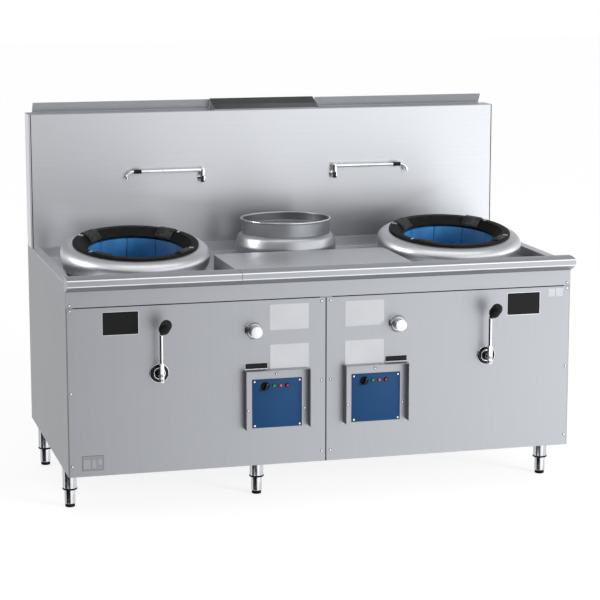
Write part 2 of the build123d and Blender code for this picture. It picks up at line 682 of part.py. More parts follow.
def pot_dome():
    """Spun dome of the pot station, hollow, with a flat seat for the lift-off collar."""
    top = POT_SEAT - SEAT_GAP
    bulge = PAN + POT_DOME_BULGE
    shoulder = bulge + (top - bulge) * POT_SHOULDER_SHARE
    outer = [(POT_DOME_NECK_R, PAN), (POT_DOME_NECK_R, PAN + POT_DOME_NECK), (POT_DOME_R, bulge),
             (POT_DOME_R - POT_SHOULDER, shoulder), (POT_DOME_TOP_R, top)]
    inner = [(POT_BORE_R, top), (POT_BORE_R, top - DOME_WALL), (POT_DOME_TOP_R - DOME_WALL, top - DOME_WALL),
             (POT_DOME_R - DOME_WALL, bulge), (POT_DOME_NECK_R - DOME_WALL, PAN + POT_DOME_NECK),
             (POT_DOME_NECK_R - DOME_WALL, PAN)]
    return Pos(0, POT_Y, 0) * turned(outer + inner)


def pot_ring():
    """Lift-off collar of three welded sheets: wall with turned-out rim, inner flange, spigot below."""
    seat, rim = POT_SEAT, POT_RIM
    lip, flange, foot_top = rim - POT_RIM_LIP, rim - POT_FLANGE_DEPTH, seat + POT_WALL
    inner, spigot = POT_COLLAR_R - POT_WALL, POT_SPIGOT_R - POT_WALL
    wall = [(inner, seat), (POT_COLLAR_R, seat), (POT_COLLAR_R, lip), (POT_RIM_R, lip), (POT_RIM_R, rim),
            (inner, rim)]
    plate = [(POT_FLANGE_HOLE_R, flange - POT_WALL), (inner, flange - POT_WALL), (inner, flange),
             (POT_FLANGE_HOLE_R, flange)]
    low = seat - POT_SPIGOT
    socket = [(spigot, low), (POT_SPIGOT_R, low), (POT_SPIGOT_R, seat), (inner, seat), (inner, foot_top),
              (spigot, foot_top)]
    return [Pos(0, POT_Y, 0) * turned(points) for points in (wall, plate, socket)]


def facing_front(x, z):
    """Frame on the front panels' face whose +Z points at the user."""
    return Pos(x, FRONT, z) * Rot(90, 0, 0)


def lever_escutcheons():
    plates = []
    for _, side in SIDES:
        steps = [(SPINDLE_R + SPINDLE_CLEARANCE, 0)]
        height = 0
        for radius, top in HUB_STEPS:
            steps += [(radius, height), (radius, top)]
            height = top
        steps.append((SPINDLE_R + SPINDLE_CLEARANCE, height))
        plates.append(facing_front(side * STATION_X, LEVER_Z) * turned(steps))
    return plates


def gas_lever(side):
    """Knee lever: spindle, flat foot, rod and bent ferrule."""
    x = side * STATION_X
    arm_y = FRONT - LEVER_STANDOFF
    lever = rod((x, FRONT + SPINDLE_DEPTH, LEVER_Z), (x, arm_y, LEVER_Z), SPINDLE_R)
    lever += block(x - LEVER_BAR_WIDTH / 2, x + LEVER_BAR_WIDTH / 2, arm_y - LEVER_BAR_THICKNESS / 2,
                   arm_y + LEVER_BAR_THICKNESS / 2, LEVER_Z - LEVER_BAR_BELOW, LEVER_Z + LEVER_BAR_ABOVE)
    start = (x, arm_y, LEVER_Z + LEVER_BAR_ABOVE - 1)
    end = knob_point(side, FERRULE_LENGTH)
    path = FilletPolyline(start, (x, arm_y, LEVER_Z + LEVER_ROD_TOP), end, radius=LEVER_BEND_R)
    lever += sweep(Plane(origin=start, z_dir=(0, 0, 1)) * Circle(LEVER_ROD_R), path)
    return lever + rod(knob_point(side, FERRULE_LENGTH / 2), end, FERRULE_R)


def knob_point(side, distance):
    """Point on the knob's leaning axis, counted from the rod's top."""
    return (side * STATION_X + distance * LEAN_SIDE, FRONT - LEVER_STANDOFF - distance * LEAN_RUN,
            LEVER_Z + LEVER_ROD_TOP + distance * LEAN_RISE)


def lever_knob(side):
    axis = Vector(LEAN_SIDE, -LEAN_RUN, LEAN_RISE)
    knob = extrude(RegularPolygon(KNOB_R, KNOB_FLAT_COUNT), KNOB_LENGTH)
    knob = chamfer(knob.edges().group_by(Axis.Z)[0] + knob.edges().group_by(Axis.Z)[-1], KNOB_ROUND)
    return Plane(origin=knob_point(side, FERRULE_LENGTH), z_dir=axis) * knob


def gas_valves():
    valves = []
    for _, side in SIDES:
        x = side * STATION_X
        body = block(x - VALVE_WIDTH / 2, x + VALVE_WIDTH / 2, FRONT + SHEET, FRONT + SHEET + VALVE_DEPTH,
                     LEVER_Z - VALVE_HEIGHT / 2, LEVER_Z + VALVE_HEIGHT / 2)
        body = fillet(body.edges().filter_by(Axis.Y), VALVE_WIDTH / 5)
        end = FRONT + SPINDLE_DEPTH + SPINDLE_END_GAP
        valves.append(body - rod((x, FRONT, LEVER_Z), (x, end, LEVER_Z), SPINDLE_R + SPINDLE_CLEARANCE))
    return valves


def fitting(centre, pipe_r):
    """Square elbow or tee block where pipes meet."""
    return Pos(*centre) * Box(*[2 * (pipe_r + FITTING_WALL)] * 3)


def pipe(start, end, radius, cut_start=0.0, cut_end=0.0):
    """Straight pipe between two points, cut short at either end by half a fitting."""
    run = (Vector(*end) - Vector(*start)).normalized()
    first, last = Vector(*start) + run * cut_start, Vector(*end) - run * cut_end
    return rod((first.X, first.Y, first.Z), (last.X, last.Y, last.Z), radius)


def inlet_socket(x, z, radius, bore_r):
    """Pipe socket in the rear panel, bored from behind."""
    socket = rod((x, BACK - INLET_SOCKET, z), (x, BACK, z), radius)
    return socket - rod((x, BACK - INLET_BORE_DEPTH, z), (x, BACK + 1, z), bore_r)


def gas_pipes():
    """Gas main behind the post, drops to both valves, feeds and risers to both burners, the rear inlet."""
    y = FRONT + SHEET + POST_DEPTH + PIPE_CLEARANCE + GAS_PIPE_R
    z = MAIN_Z
    half = GAS_PIPE_R + FITTING_WALL
    left, right, inlet = (-STATION_X, y, z), (STATION_X, y, z), (GAS_INLET_X, y, z)
    pieces = [fitting(corner, GAS_PIPE_R) for corner in (left, right, inlet)]
    pieces += [pipe(left, right, GAS_PIPE_R, half, half), pipe(right, inlet, GAS_PIPE_R, half, half)]
    pieces.append(pipe(inlet, (GAS_INLET_X, BACK - INLET_SOCKET, z), GAS_PIPE_R, half))
    pieces.append(inlet_socket(GAS_INLET_X, z, INLET_SOCKET_R, INLET_BORE_R))
    for side, tee in ((-1, left), (1, right)):
        x = side * STATION_X
        end = venturi_end(side)
        elbow = (x, end.Y, LEVER_Z)
        pieces.append(pipe(tee, (x, y, LEVER_Z - VALVE_HEIGHT / 2), GAS_PIPE_R, half))
        pieces.append(fitting(elbow, GAS_PIPE_R))
        pieces.append(pipe((x, FRONT + SHEET + VALVE_DEPTH, LEVER_Z), elbow, GAS_PIPE_R, 0, half))
        pieces.append(pipe(elbow, (x, end.Y, end.Z - VENTURI_GAP), GAS_PIPE_R, half))
    return pieces


def tap_valves():
    valves = []
    for _, side in SIDES:
        bore = BUTTON_R + BUTTON_CLEARANCE
        stem = BUTTON_STEM_R + BUTTON_CLEARANCE
        depth = BUTTON_BACK - BUTTON_TRAVEL - BUTTON_STOP_GAP
        points = [(bore, depth), (bore, TAP_COLLAR), (TAP_COLLAR_R, TAP_COLLAR), (TAP_FLANGE_R, TAP_FLANGE),
                  (TAP_FLANGE_R, 0), (TAP_BODY_R, 0), (TAP_BODY_R, -TAP_BODY), (stem, -TAP_BODY),
                  (stem, depth)]
        valves.append(facing_front(side * TAP_X, TAP_Z) * turned(points))
    return valves


def tap_button(side):
    end = BUTTON_BACK - BUTTON_STEM
    points = [(0, end), (BUTTON_STEM_R, end), (BUTTON_STEM_R, BUTTON_BACK), (BUTTON_R, BUTTON_BACK),
              (BUTTON_R, BUTTON_REACH), (0, BUTTON_REACH)]
    return facing_front(side * TAP_X, TAP_Z) * turned(points)


def water_pipes():
    """Cross pipe between the taps, risers to both spouts and the rear inlet."""
    half = WATER_PIPE_R + FITTING_WALL
    tee = (WATER_INLET_X, FRONT + TAP_BODY - WATER_PIPE_R, TAP_Z)
    pieces = [fitting(tee, WATER_PIPE_R), inlet_socket(WATER_INLET_X, TAP_Z, half, WATER_INLET_BORE_R)]
    pieces.append(pipe(tee, (WATER_INLET_X, BACK - INLET_SOCKET, TAP_Z), WATER_PIPE_R, half))
    for _, side in SIDES:
        x = side * TAP_X
        body = rod((x, FRONT, TAP_Z), (x, FRONT + TAP_BODY, TAP_Z), TAP_BODY_R)
        low, high = (x, RISER_Y, TAP_Z), (x, RISER_Y, BRACKET_Z)
        pieces.append(pipe(tee, (x, tee[1], TAP_Z), WATER_PIPE_R, half) - body)
        pieces.append(pipe((x, FRONT + TAP_BODY, TAP_Z), low, WATER_PIPE_R, 0, half))
        pieces += [fitting(end, WATER_PIPE_R) for end in (low, high)]
        pieces.append(pipe(low, high, WATER_PIPE_R, half, half))
        pieces.append(pipe((x, SPLASH_Y + SHEET, BRACKET_Z), high, SPOUT_STUB_R, 0, half))
    return pieces


def spout_brackets():
    """Wall rosette, stub, upright body and the pivot pin that carries the spout."""
    brackets = []
    for _, side in SIDES:
        x = side * TAP_X
        low, top = BRACKET_Z - BRACKET_BELOW, BRACKET_Z + BRACKET_ABOVE
        bracket = rod((x, SPLASH_Y + SHEET, BRACKET_Z), (x, SPOUT_Y, BRACKET_Z), BRACKET_STUB_R)
        bracket += rod((x, SPLASH_Y - ROSETTE, BRACKET_Z), (x, SPLASH_Y, BRACKET_Z), ROSETTE_R)
        bracket += rod((x, SPOUT_Y, low), (x, SPOUT_Y, top), BRACKET_R)
        brackets.append(bracket + rod((x, SPOUT_Y, top), (x, SPOUT_Y, top + PIVOT_LENGTH), PIVOT_R))
    return brackets


def spout(side):
    """Swing spout, drawn for the right side and mirrored: hub, stepped tube, sleeve and bent tip."""
    low = BRACKET_Z + BRACKET_ABOVE + SEAT_GAP - SPOUT_Z
    arm = rod((0, 0, low), (0, 0, SPOUT_HUB_TOP), BRACKET_R)
    arm += rod((0, 0, 0), (SPOUT_STEP, 0, 0), SPOUT_R)
    arm += rod((SPOUT_STEP, 0, 0), (SPOUT_REACH + SLEEVE_LENGTH, 0, 0), SPOUT_THIN_R)
    arm += rod((SPOUT_REACH, 0, 0), (SPOUT_REACH + SLEEVE_LENGTH, 0, 0), SLEEVE_R)
    start = SPOUT_REACH + SLEEVE_LENGTH
    path = Plane.XZ * CenterArc((start, -TIP_BEND_R), TIP_BEND_R, 0, 90)
    tip = (start + TIP_BEND_R, 0, -TIP_BEND_R)
    arm += sweep(Plane(origin=tip, z_dir=(0, 0, 1)) * Circle(SPOUT_THIN_R), path)
    arm -= Pos(*tip) * Cylinder(TIP_BORE_R, 2 * TIP_BORE_DEPTH)
    bore = PIVOT_R + PIVOT_CLEARANCE
    arm -= rod((0, 0, low - 1), (0, 0, low + PIVOT_LENGTH + 1), bore)
    if side < 0:
        arm = mirror(arm, Plane.YZ)
    return Pos(side * TAP_X, SPOUT_Y, SPOUT_Z) * arm


def control_housing(side):
    """Three-sided sheet guard, open below, with holes for the row of controls."""
    centre = guard_centre(side)
    low, high = centre - GUARD_WIDTH / 2, centre + GUARD_WIDTH / 2
    top = GUARD_Z + GUARD_HEIGHT
    edge = FRONT - GUARD_DEPTH
    guard = block(low, high, edge, FRONT, GUARD_Z, top)
    guard -= block(low + SHEET, high - SHEET, edge - CUT, FRONT - SHEET, GUARD_Z - CUT, top - SHEET)
    return guard - control_window(side, FRONT - SHEET - CUT, FRONT + CUT, WINDOW_MARGIN)


def control_plates():
    plates = []
    for _, side in SIDES:
        left = control_x(side, 0)
        plate = block(left, left + PLATE_WIDTH, PLATE_FACE, FRONT - SHEET, GUARD_Z, GUARD_Z + PLATE_HEIGHT)
        holes = [(control_x(side, SELECTOR_OFFSET), SHAFT_R + SHAFT_HOLE_CLEARANCE),
                 (lamp_x(side, 2), RESET_R + RESET_CLEARANCE)]
        for x, radius in holes:
            plate -= rod((x, PLATE_FACE - CUT, CONTROL_Z), (x, FRONT, CONTROL_Z), radius)
        plates.append(plate)
    return plates


def lamps():
    """Two lamp lenses a side."""
    pieces = []
    for _, side in SIDES:
        for number in (0, 1):
            x = lamp_x(side, number)
            pieces.append(rod((x, PLATE_FACE - LAMP_DEPTH, CONTROL_Z), (x, PLATE_FACE, CONTROL_Z), LAMP_R))
    return pieces


def ignition_modules():
    """Boxes behind the front panels that take the shafts of the controls."""
    boxes = []
    front = FRONT + SHEET
    for _, side in SIDES:
        centre = guard_centre(side)
        box = block(centre - MODULE_WIDTH / 2, centre + MODULE_WIDTH / 2, front, front + MODULE_DEPTH,
                    CONTROL_Z - MODULE_HEIGHT / 2, CONTROL_Z + MODULE_HEIGHT / 2)
        x = control_x(side, SELECTOR_OFFSET)
        end = front + SHAFT_LENGTH
        boxes.append(box - rod((x, front - CUT, CONTROL_Z), (x, end, CONTROL_Z), SHAFT_R + SHAFT_CLEARANCE))
    return boxes


def selector(side):
    x = control_x(side, SELECTOR_OFFSET)
    face = PLATE_FACE - SEAT_GAP
    step, front = face - SELECTOR_DEPTH / 3, face - SELECTOR_DEPTH
    reach, half = SELECTOR_R - SELECTOR_MARGIN, SELECTOR_GRIP / 2
    skirt = rod((x, step, CONTROL_Z), (x, face, CONTROL_Z), SELECTOR_R)
    grip = block(x - half, x + half, front, step, CONTROL_Z - reach, CONTROL_Z + reach)
    end = FRONT + SHEET + SHAFT_LENGTH - SHAFT_END_GAP
    return skirt + grip + rod((x, face, CONTROL_Z), (x, end, CONTROL_Z), SHAFT_R)


def reset_button(side):
    x = lamp_x(side, 2)
    back = FRONT + SHEET - RESET_TRAVEL - SEAT_GAP
    return rod((x, PLATE_FACE - RESET_PROUD, CONTROL_Z), (x, back, CONTROL_Z), RESET_R)


def node(name, solids):
    """Writes one sub-part; solids is one shape or a list of shapes."""
    shapes = solids if isinstance(solids, (list, tuple, ShapeList)) else [solids]
    pieces = [piece for shape in shapes for piece in shape.solids()]
    shape = pieces[0] if len(pieces) == 1 else Compound(children=pieces)
    shape.label = name
    export_step(shape, f"parts/{name}.step")


node("base_tray", base_tray())
node("centre_post", centre_post())
node("rear_panels", rear_panels())
node("front_fascia", front_fascia())
node("hob_pan_left", hob_pan_left())
node("hob_pan_right", hob_pan_right())
node("work_shelf", work_shelf())
node("front_nosing_left", nosing(-SIDE, PAN_SEAM_X - PAN_SEAM / 2, -SIDE))
node("front_nosing_right", nosing(PAN_SEAM_X + PAN_SEAM / 2, SIDE, SIDE))
node("splash_front", splash_front())
node("splash_cheeks", splash_cheeks())
node("splash_roof", splash_roof())
node("flue_duct", flue_duct())
node("flue_cowl", flue_cowl())
node("pot_dome", pot_dome())
node("pot_ring", pot_ring())
node("leg_tubes", leg_tubes())
node("leg_collars", leg_collars())
node("lever_escutcheons", lever_escutcheons())
node("gas_valves", gas_valves())
node("gas_pipes", gas_pipes())
node("tap_valves", tap_valves())
node("water_pipes", water_pipes())
node("spout_brackets", spout_brackets())
node("control_plates", control_plates())
node("indicator_lamps", lamps())
node("ignition_modules", ignition_modules())
node("burners", [burner(side) for _, side in SIDES])

for name, side in SIDES:
    node(f"side_panel_{name}", side_panel(side))
    node(f"front_panel_{name}", front_panel(side))
    node(f"wok_dome_{name}", wok_dome(side))
    node(f"wok_ring_{name}", wok_ring(side))
    node(f"chamber_liner_{name}", chamber_liner(side))
    node(f"chamber_shell_{name}", chamber_shell(side))
    node(f"gas_lever_{name}", gas_lever(side))
    node(f"lever_knob_{name}", lever_knob(side))
    node(f"tap_button_{name}", tap_button(side))
    node(f"spout_{name}", spout(side))
    node(f"control_housing_{name}", control_housing(side))
    node(f"selector_{name}", selector(side))
    node(f"reset_button_{name}", reset_button(side))

for column, x in zip(("left", "middle", "right"), LEG_X):
    for row, y in zip(("front", "rear"), LEG_Y):
        node(f"foot_{row}_{column}", foot(x, y))
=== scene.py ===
import bmesh
import bpy
import json
import math
from mathutils import Matrix, Vector


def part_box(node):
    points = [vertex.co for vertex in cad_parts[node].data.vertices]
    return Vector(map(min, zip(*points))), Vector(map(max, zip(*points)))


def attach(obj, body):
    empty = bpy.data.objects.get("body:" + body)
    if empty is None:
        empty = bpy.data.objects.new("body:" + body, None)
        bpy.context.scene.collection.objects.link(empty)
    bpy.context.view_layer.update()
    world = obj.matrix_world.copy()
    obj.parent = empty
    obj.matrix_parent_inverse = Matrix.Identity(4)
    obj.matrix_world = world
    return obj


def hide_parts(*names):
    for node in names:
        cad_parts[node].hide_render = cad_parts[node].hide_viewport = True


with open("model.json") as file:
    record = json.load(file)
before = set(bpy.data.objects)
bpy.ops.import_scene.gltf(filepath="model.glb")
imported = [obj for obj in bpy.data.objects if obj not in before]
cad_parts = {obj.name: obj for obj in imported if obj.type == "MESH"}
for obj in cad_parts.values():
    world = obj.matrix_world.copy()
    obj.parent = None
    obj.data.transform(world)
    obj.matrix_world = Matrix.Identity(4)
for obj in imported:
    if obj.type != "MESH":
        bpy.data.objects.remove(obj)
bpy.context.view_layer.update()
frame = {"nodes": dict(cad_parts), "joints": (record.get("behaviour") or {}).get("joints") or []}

# Pieces are built in millimetres in the frame's axes and turned into metres by MM.
MM = 0.001
SIDES = (("left", -1), ("right", 1))
SHARP = 32.0  # angle between faces above which an edge is drawn sharp, in degrees
SHARP_WIDE = 50.0  # the same for sheets and domes
FOLD_ANGLE = math.radians(40)


def span(node):
    """Lowest and highest corner of a CAD node, in millimetres."""
    low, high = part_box(node)
    return low / MM, high / MM


def joint_value(name, value):
    """Place ("pos_m", metres) or direction ("axis") of a joint."""
    return Vector(next(joint[value] for joint in frame["joints"] if joint["name"] == name))


# Places read from the frame, the last two measured from them
(_, FRONT, UNDER), (_, _, PANEL_TOP) = span("front_panel_left")
RIM = span("hob_pan_left")[1].z
PAN = span("pot_dome")[0].z
DECK = span("work_shelf")[1].z
NOSE_TIP = span("front_nosing_left")[0].y
SPLASH = span("splash_front")[0].y
ROOF = span("splash_cheeks")[1].z
LEVER = joint_value("gas_lever_right_turn", "pos_m") / MM
SPOUT = joint_value("spout_right_swing", "pos_m") / MM
KNOB_ROW = joint_value("selector_right_turn", "pos_m").z / MM
TAP_X = SPOUT.x
TAP_Z = (span("tap_valves")[0].z + span("tap_valves")[1].z) / 2
TILT_AXIS = joint_value("wok_ring_left_lift", "axis")
TILT = math.atan2(-TILT_AXIS.y, TILT_AXIS.z)
STATION_X = LEVER.x
POT_Y = (span("pot_ring")[0].y + span("pot_ring")[1].y) / 2
POT_RIM = span("pot_ring")[1].z
(_, PLATE_FACE, PLATE_LOW), (_, _, PLATE_HIGH) = span("control_plates")
(_, _, COLLAR_LOW), (_, _, COLLAR_TOP) = span("leg_collars")
LEG_TOP = span("leg_tubes")[1].z
STATION_Y = FRONT + 404.0
RING_Z = UNDER + 735.0


# ---- mesh helpers

def linked(name, data):
    """Object of a mesh, lamp or camera, put in the scene."""
    obj = bpy.data.objects.new(name, data)
    bpy.context.scene.collection.objects.link(obj)
    return obj


def piece(name, mesh, look, body, place=None):
    """Object made of a mesh, with its material, riding on a CAD body."""
    mesh.name = name
    obj = linked(name, mesh)
    if place is not None:
        obj.matrix_world = place
    if not mesh.materials:
        mesh.materials.append(look)
    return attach(obj, body)


def smooth_mesh(bm, sharp=SHARP, looks=()):
    """Mesh of a bmesh, smooth but for its sharp edges."""
    mesh = bpy.data.meshes.new("part")
    bm.to_mesh(mesh)
    bm.free()
    for look in looks:
        mesh.materials.append(look)
    mesh.polygons.foreach_set("use_smooth", [True] * len(mesh.polygons))
    mesh.set_sharp_from_angle(angle=math.radians(sharp))
    return mesh


def closed_mesh(bm, sharp=SHARP):
    """Smooth mesh with its doubled vertices merged and its normals outward."""
    bmesh.ops.remove_doubles(bm, verts=bm.verts, dist=1e-7)
    bmesh.ops.recalc_face_normals(bm, faces=bm.faces)
    return smooth_mesh(bm, sharp)


def turns(count):
    """Equal steps of a full turn."""
    return [2 * math.pi * i / count for i in range(count)]


def bridge(bm, rows, closed=False):
    """Faces between neighbouring rows of vertices that run round; a row of one vertex is a pole."""
    for low, high in zip(rows, rows[1:] + rows[:1] if closed else rows[1:]):
        count = max(len(low), len(high))
        for i in range(count):
            j = (i + 1) % count
            corners = (low[i % len(low)], low[j % len(low)], high[j % len(high)], high[i % len(high)])
            unique = list(dict.fromkeys(corners))
            if len(unique) > 2:
                bm.faces.new(unique)


def round_edges(bm, edges, radius, segments, clamp=True):
    """Rounds edges and returns the new faces."""
    return bmesh.ops.bevel(bm, geom=edges, offset=radius * MM, segments=segments, profile=0.5, affect="EDGES",
                           clamp_overlap=clamp)["faces"]


def folds(bm):
    """Edges where two faces meet at a marked angle."""
    return [edge for edge in bm.edges if len(edge.link_faces) == 2 and edge.calc_face_angle(0.0) > FOLD_ANGLE]


def at(x, y, z):
    return Matrix.Translation(Vector((x, y, z)) * MM)


def facing_front(x, y, z):
    """Frame whose local +Z points at the user."""
    return at(x, y, z) @ Matrix.Rotation(math.radians(90), 4, "X")


def along(direction, point):
    """Frame at a point with +Z along a direction."""
    return Matrix.Translation(Vector(point) * MM) @ Vector(direction).to_track_quat("Z", "Y").to_matrix().to_4x4()


def rounded(points, steps=4, closed=False):
    """Points (a, b, radius) with each corner that has a radius replaced by an arc."""
    result = []
    count = len(points)
    for i, point in enumerate(points):
        corner = Vector(point[:2])
        radius = point[2] if len(point) > 2 else 0
        at_end = not closed and i in (0, count - 1)
        if radius <= 0 or at_end:
            result.append(corner)
            continue
        before = Vector(points[i - 1][:2]) - corner
        after = Vector(points[(i + 1) % count][:2]) - corner
        half = before.angle(after) / 2
        reach = min(radius / math.tan(half), before.length * 0.49, after.length * 0.49)
        radius = reach * math.tan(half)
        start = corner + before.normalized() * reach
        end = corner + after.normalized() * reach
        middle = corner + (before.normalized() + after.normalized()).normalized() * (radius / math.sin(half))
        first = start - middle
        turn = first.angle_signed(end - middle)
        for step in range(steps + 1):
            result.append(middle + Matrix.Rotation(-turn * step / steps, 2) @ first)
    return result


def lathe_mesh(profile, segments, ring=False, wave=None):
    """Form turned about the local Z axis from (radius, height, corner radius) points.

    It starts and ends on the axis, unless it is a ring. wave scales the radius by angle and height."""
    bm = bmesh.new()
    rows = []
    for radius, height in rounded(profile, closed=ring):
        if radius < 1e-6:
            rows.append([bm.verts.new((0, 0, height * MM))])
            continue
        row = []
        for angle in turns(segments):
            r = radius * (wave(angle, height) if wave else 1)
            row.append(bm.verts.new((r * math.cos(angle) * MM, r * math.sin(angle) * MM, height * MM)))
        rows.append(row)
    bridge(bm, rows, closed=ring)
    return closed_mesh(bm)


def ring_mesh(profile, segments):
    """Closed section turned about the local Z axis."""
    return lathe_mesh(profile, segments, ring=True)


def box_mesh(low, high, radius):
    """Box between two corners, with rounded edges."""
    bm = bmesh.new()
    low, size = Vector(low), Vector(high) - Vector(low)
    for vert in bmesh.ops.create_cube(bm, size=1.0)["verts"]:
        vert.co = Vector([start + (share + 0.5) * length for start, share, length in zip(low, vert.co, size)]) * MM
    round_edges(bm, bm.edges[:], radius, 3)
    return closed_mesh(bm)


def slab(outline, near, far):
    """Bmesh of an (X, Z) outline that reaches from one Y to another."""
    bm = bmesh.new()
    front, back = ([bm.verts.new((x * MM, y * MM, z * MM)) for x, z in outline] for y in (near, far))
    bm.faces.new(front)
    bm.faces.new(back[::-1])
    bridge(bm, [back, front])
    return bm


def prism_mesh(points, half, bevel):
    """Section drawn in (X, Z), pulled to both sides along Y, with rounded edges."""
    bm = slab(points, -half, half)
    round_edges(bm, bm.edges[:], bevel, 3)
    return closed_mesh(bm)


def sector_mesh(profile, start, end, bevel=0.0, steps=8):
    """Closed (radius, height) section turned between two directions, with worn edges."""
    bm = bmesh.new()
    rows = []
    for step in range(steps + 1):
        a = start + (end - start) * step / steps
        rows.append([bm.verts.new((r * math.cos(a) * MM, r * math.sin(a) * MM, z * MM)) for r, z in profile])
    bridge(bm, rows)
    bm.faces.new(rows[0])
    bm.faces.new(rows[-1][::-1])
    bmesh.ops.recalc_face_normals(bm, faces=bm.faces)
    if bevel:
        round_edges(bm, folds(bm), bevel, 2)
    return closed_mesh(bm)


def round_route(points, radius, steps=8):
    """Route in space whose inner corners are arcs."""
    route = [Vector(points[0])]
    for before, corner, after in zip(points, points[1:-1], points[2:]):
        corner = Vector(corner)
        a = (Vector(before) - corner).normalized()
        b = (Vector(after) - corner).normalized()
        half = a.angle(b) / 2
        reach = radius / math.tan(half)
        middle = corner + (a + b).normalized() * (radius / math.sin(half))
        first = corner + a * reach - middle
        last = corner + b * reach - middle
        axis = first.cross(last)
        total = first.angle(last)
        for step in range(steps + 1):
            route.append(middle + Matrix.Rotation(total * step / steps, 3, axis) @ first)
    route.append(Vector(points[-1]))
    return route


BORE_DEPTH = 8.0


def tube_mesh(route, radius, segments=24, bore=0.0):
    """Round bar along a route; radius is one value or one for each point. A bore opens the last end."""
    bm = bmesh.new()
    radii = radius if isinstance(radius, list) else [radius] * len(route)
    normal = None
    rows = []
    for i, point in enumerate(route):
        ahead = route[min(i + 1, len(route) - 1)] - route[max(i - 1, 0)]
        ahead.normalize()
        if normal is None:
            normal = ahead.orthogonal().normalized()
        normal = (normal - ahead * normal.dot(ahead)).normalized()
        side = ahead.cross(normal)
        rows.append([bm.verts.new((point + (normal * math.cos(a) + side * math.sin(a)) * radii[i]) * MM)
                     for a in turns(segments)])
    if bore:
        rim, end = rows[-1], route[-1]
        ahead = (end - route[-2]).normalized()
        for depth in (0.0, BORE_DEPTH):
            centre = end - ahead * depth
            rows.append([bm.verts.new((centre + (vert.co / MM - end).normalized() * bore) * MM) for vert in rim])
    bridge(bm, rows)
    bm.faces.new(rows[0][::-1])
    bm.faces.new(rows[-1])
    return closed_mesh(bm)


def join_meshes(parts):
    """One mesh of several (mesh, look) or (mesh, look, matrix) parts, each keeping its own material."""
    bm = bmesh.new()
    looks = []
    for mesh, look, *place in parts:
        if look not in looks:
            looks.append(look)
        start = len(bm.faces)
        if place:
            mesh = mesh.copy()
            mesh.transform(place[0])
        bm.from_mesh(mesh)
        bm.faces.ensure_lookup_table()
        for face in bm.faces[start:]:
            face.material_index = looks.index(look)
    return smooth_mesh(bm, looks=looks)


def face_width(face):
    """Area of a face over its longest side, in millimetres."""
    return face.calc_area() / max(edge.calc_length() for edge in face.edges) / MM


def dressed(node, look, radius=0.7, fold=0.0):
    """Sheet-metal node again with rounded edges; a fold radius rounds its long outer folds, which take a lighter,
    smoother steel as a painted highlight.
    """
    bm = bmesh.new()
    bm.from_mesh(frame["nodes"][node].data)
    bmesh.ops.remove_doubles(bm, verts=bm.verts, dist=2e-6)
    bmesh.ops.dissolve_limit(bm, angle_limit=math.radians(1.0), verts=bm.verts, edges=bm.edges, delimit={"NORMAL"})
    if fold:
        wide = [edge for edge in folds(bm) if edge.is_convex and edge.calc_length() > 0.1
                and min(face_width(face) for face in edge.link_faces) > 2.2 * fold]
        # Painted highlight: the rounded folds get the lighter fold steel
        for face in round_edges(bm, wide, fold, 4, clamp=False):
            face.material_index = 1
    round_edges(bm, folds(bm), radius, 2)
    mesh = closed_mesh(bm, SHARP_WIDE)
    mesh.materials.append(look)
    mesh.materials.append(fold_highlight_steel)
    obj = piece(f"{node}_sheet", mesh, look, "cabinet")
    obj.modifiers.new("WeightedNormal", "WEIGHTED_NORMAL").keep_sharp = True
    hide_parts(node)


# ---- materials

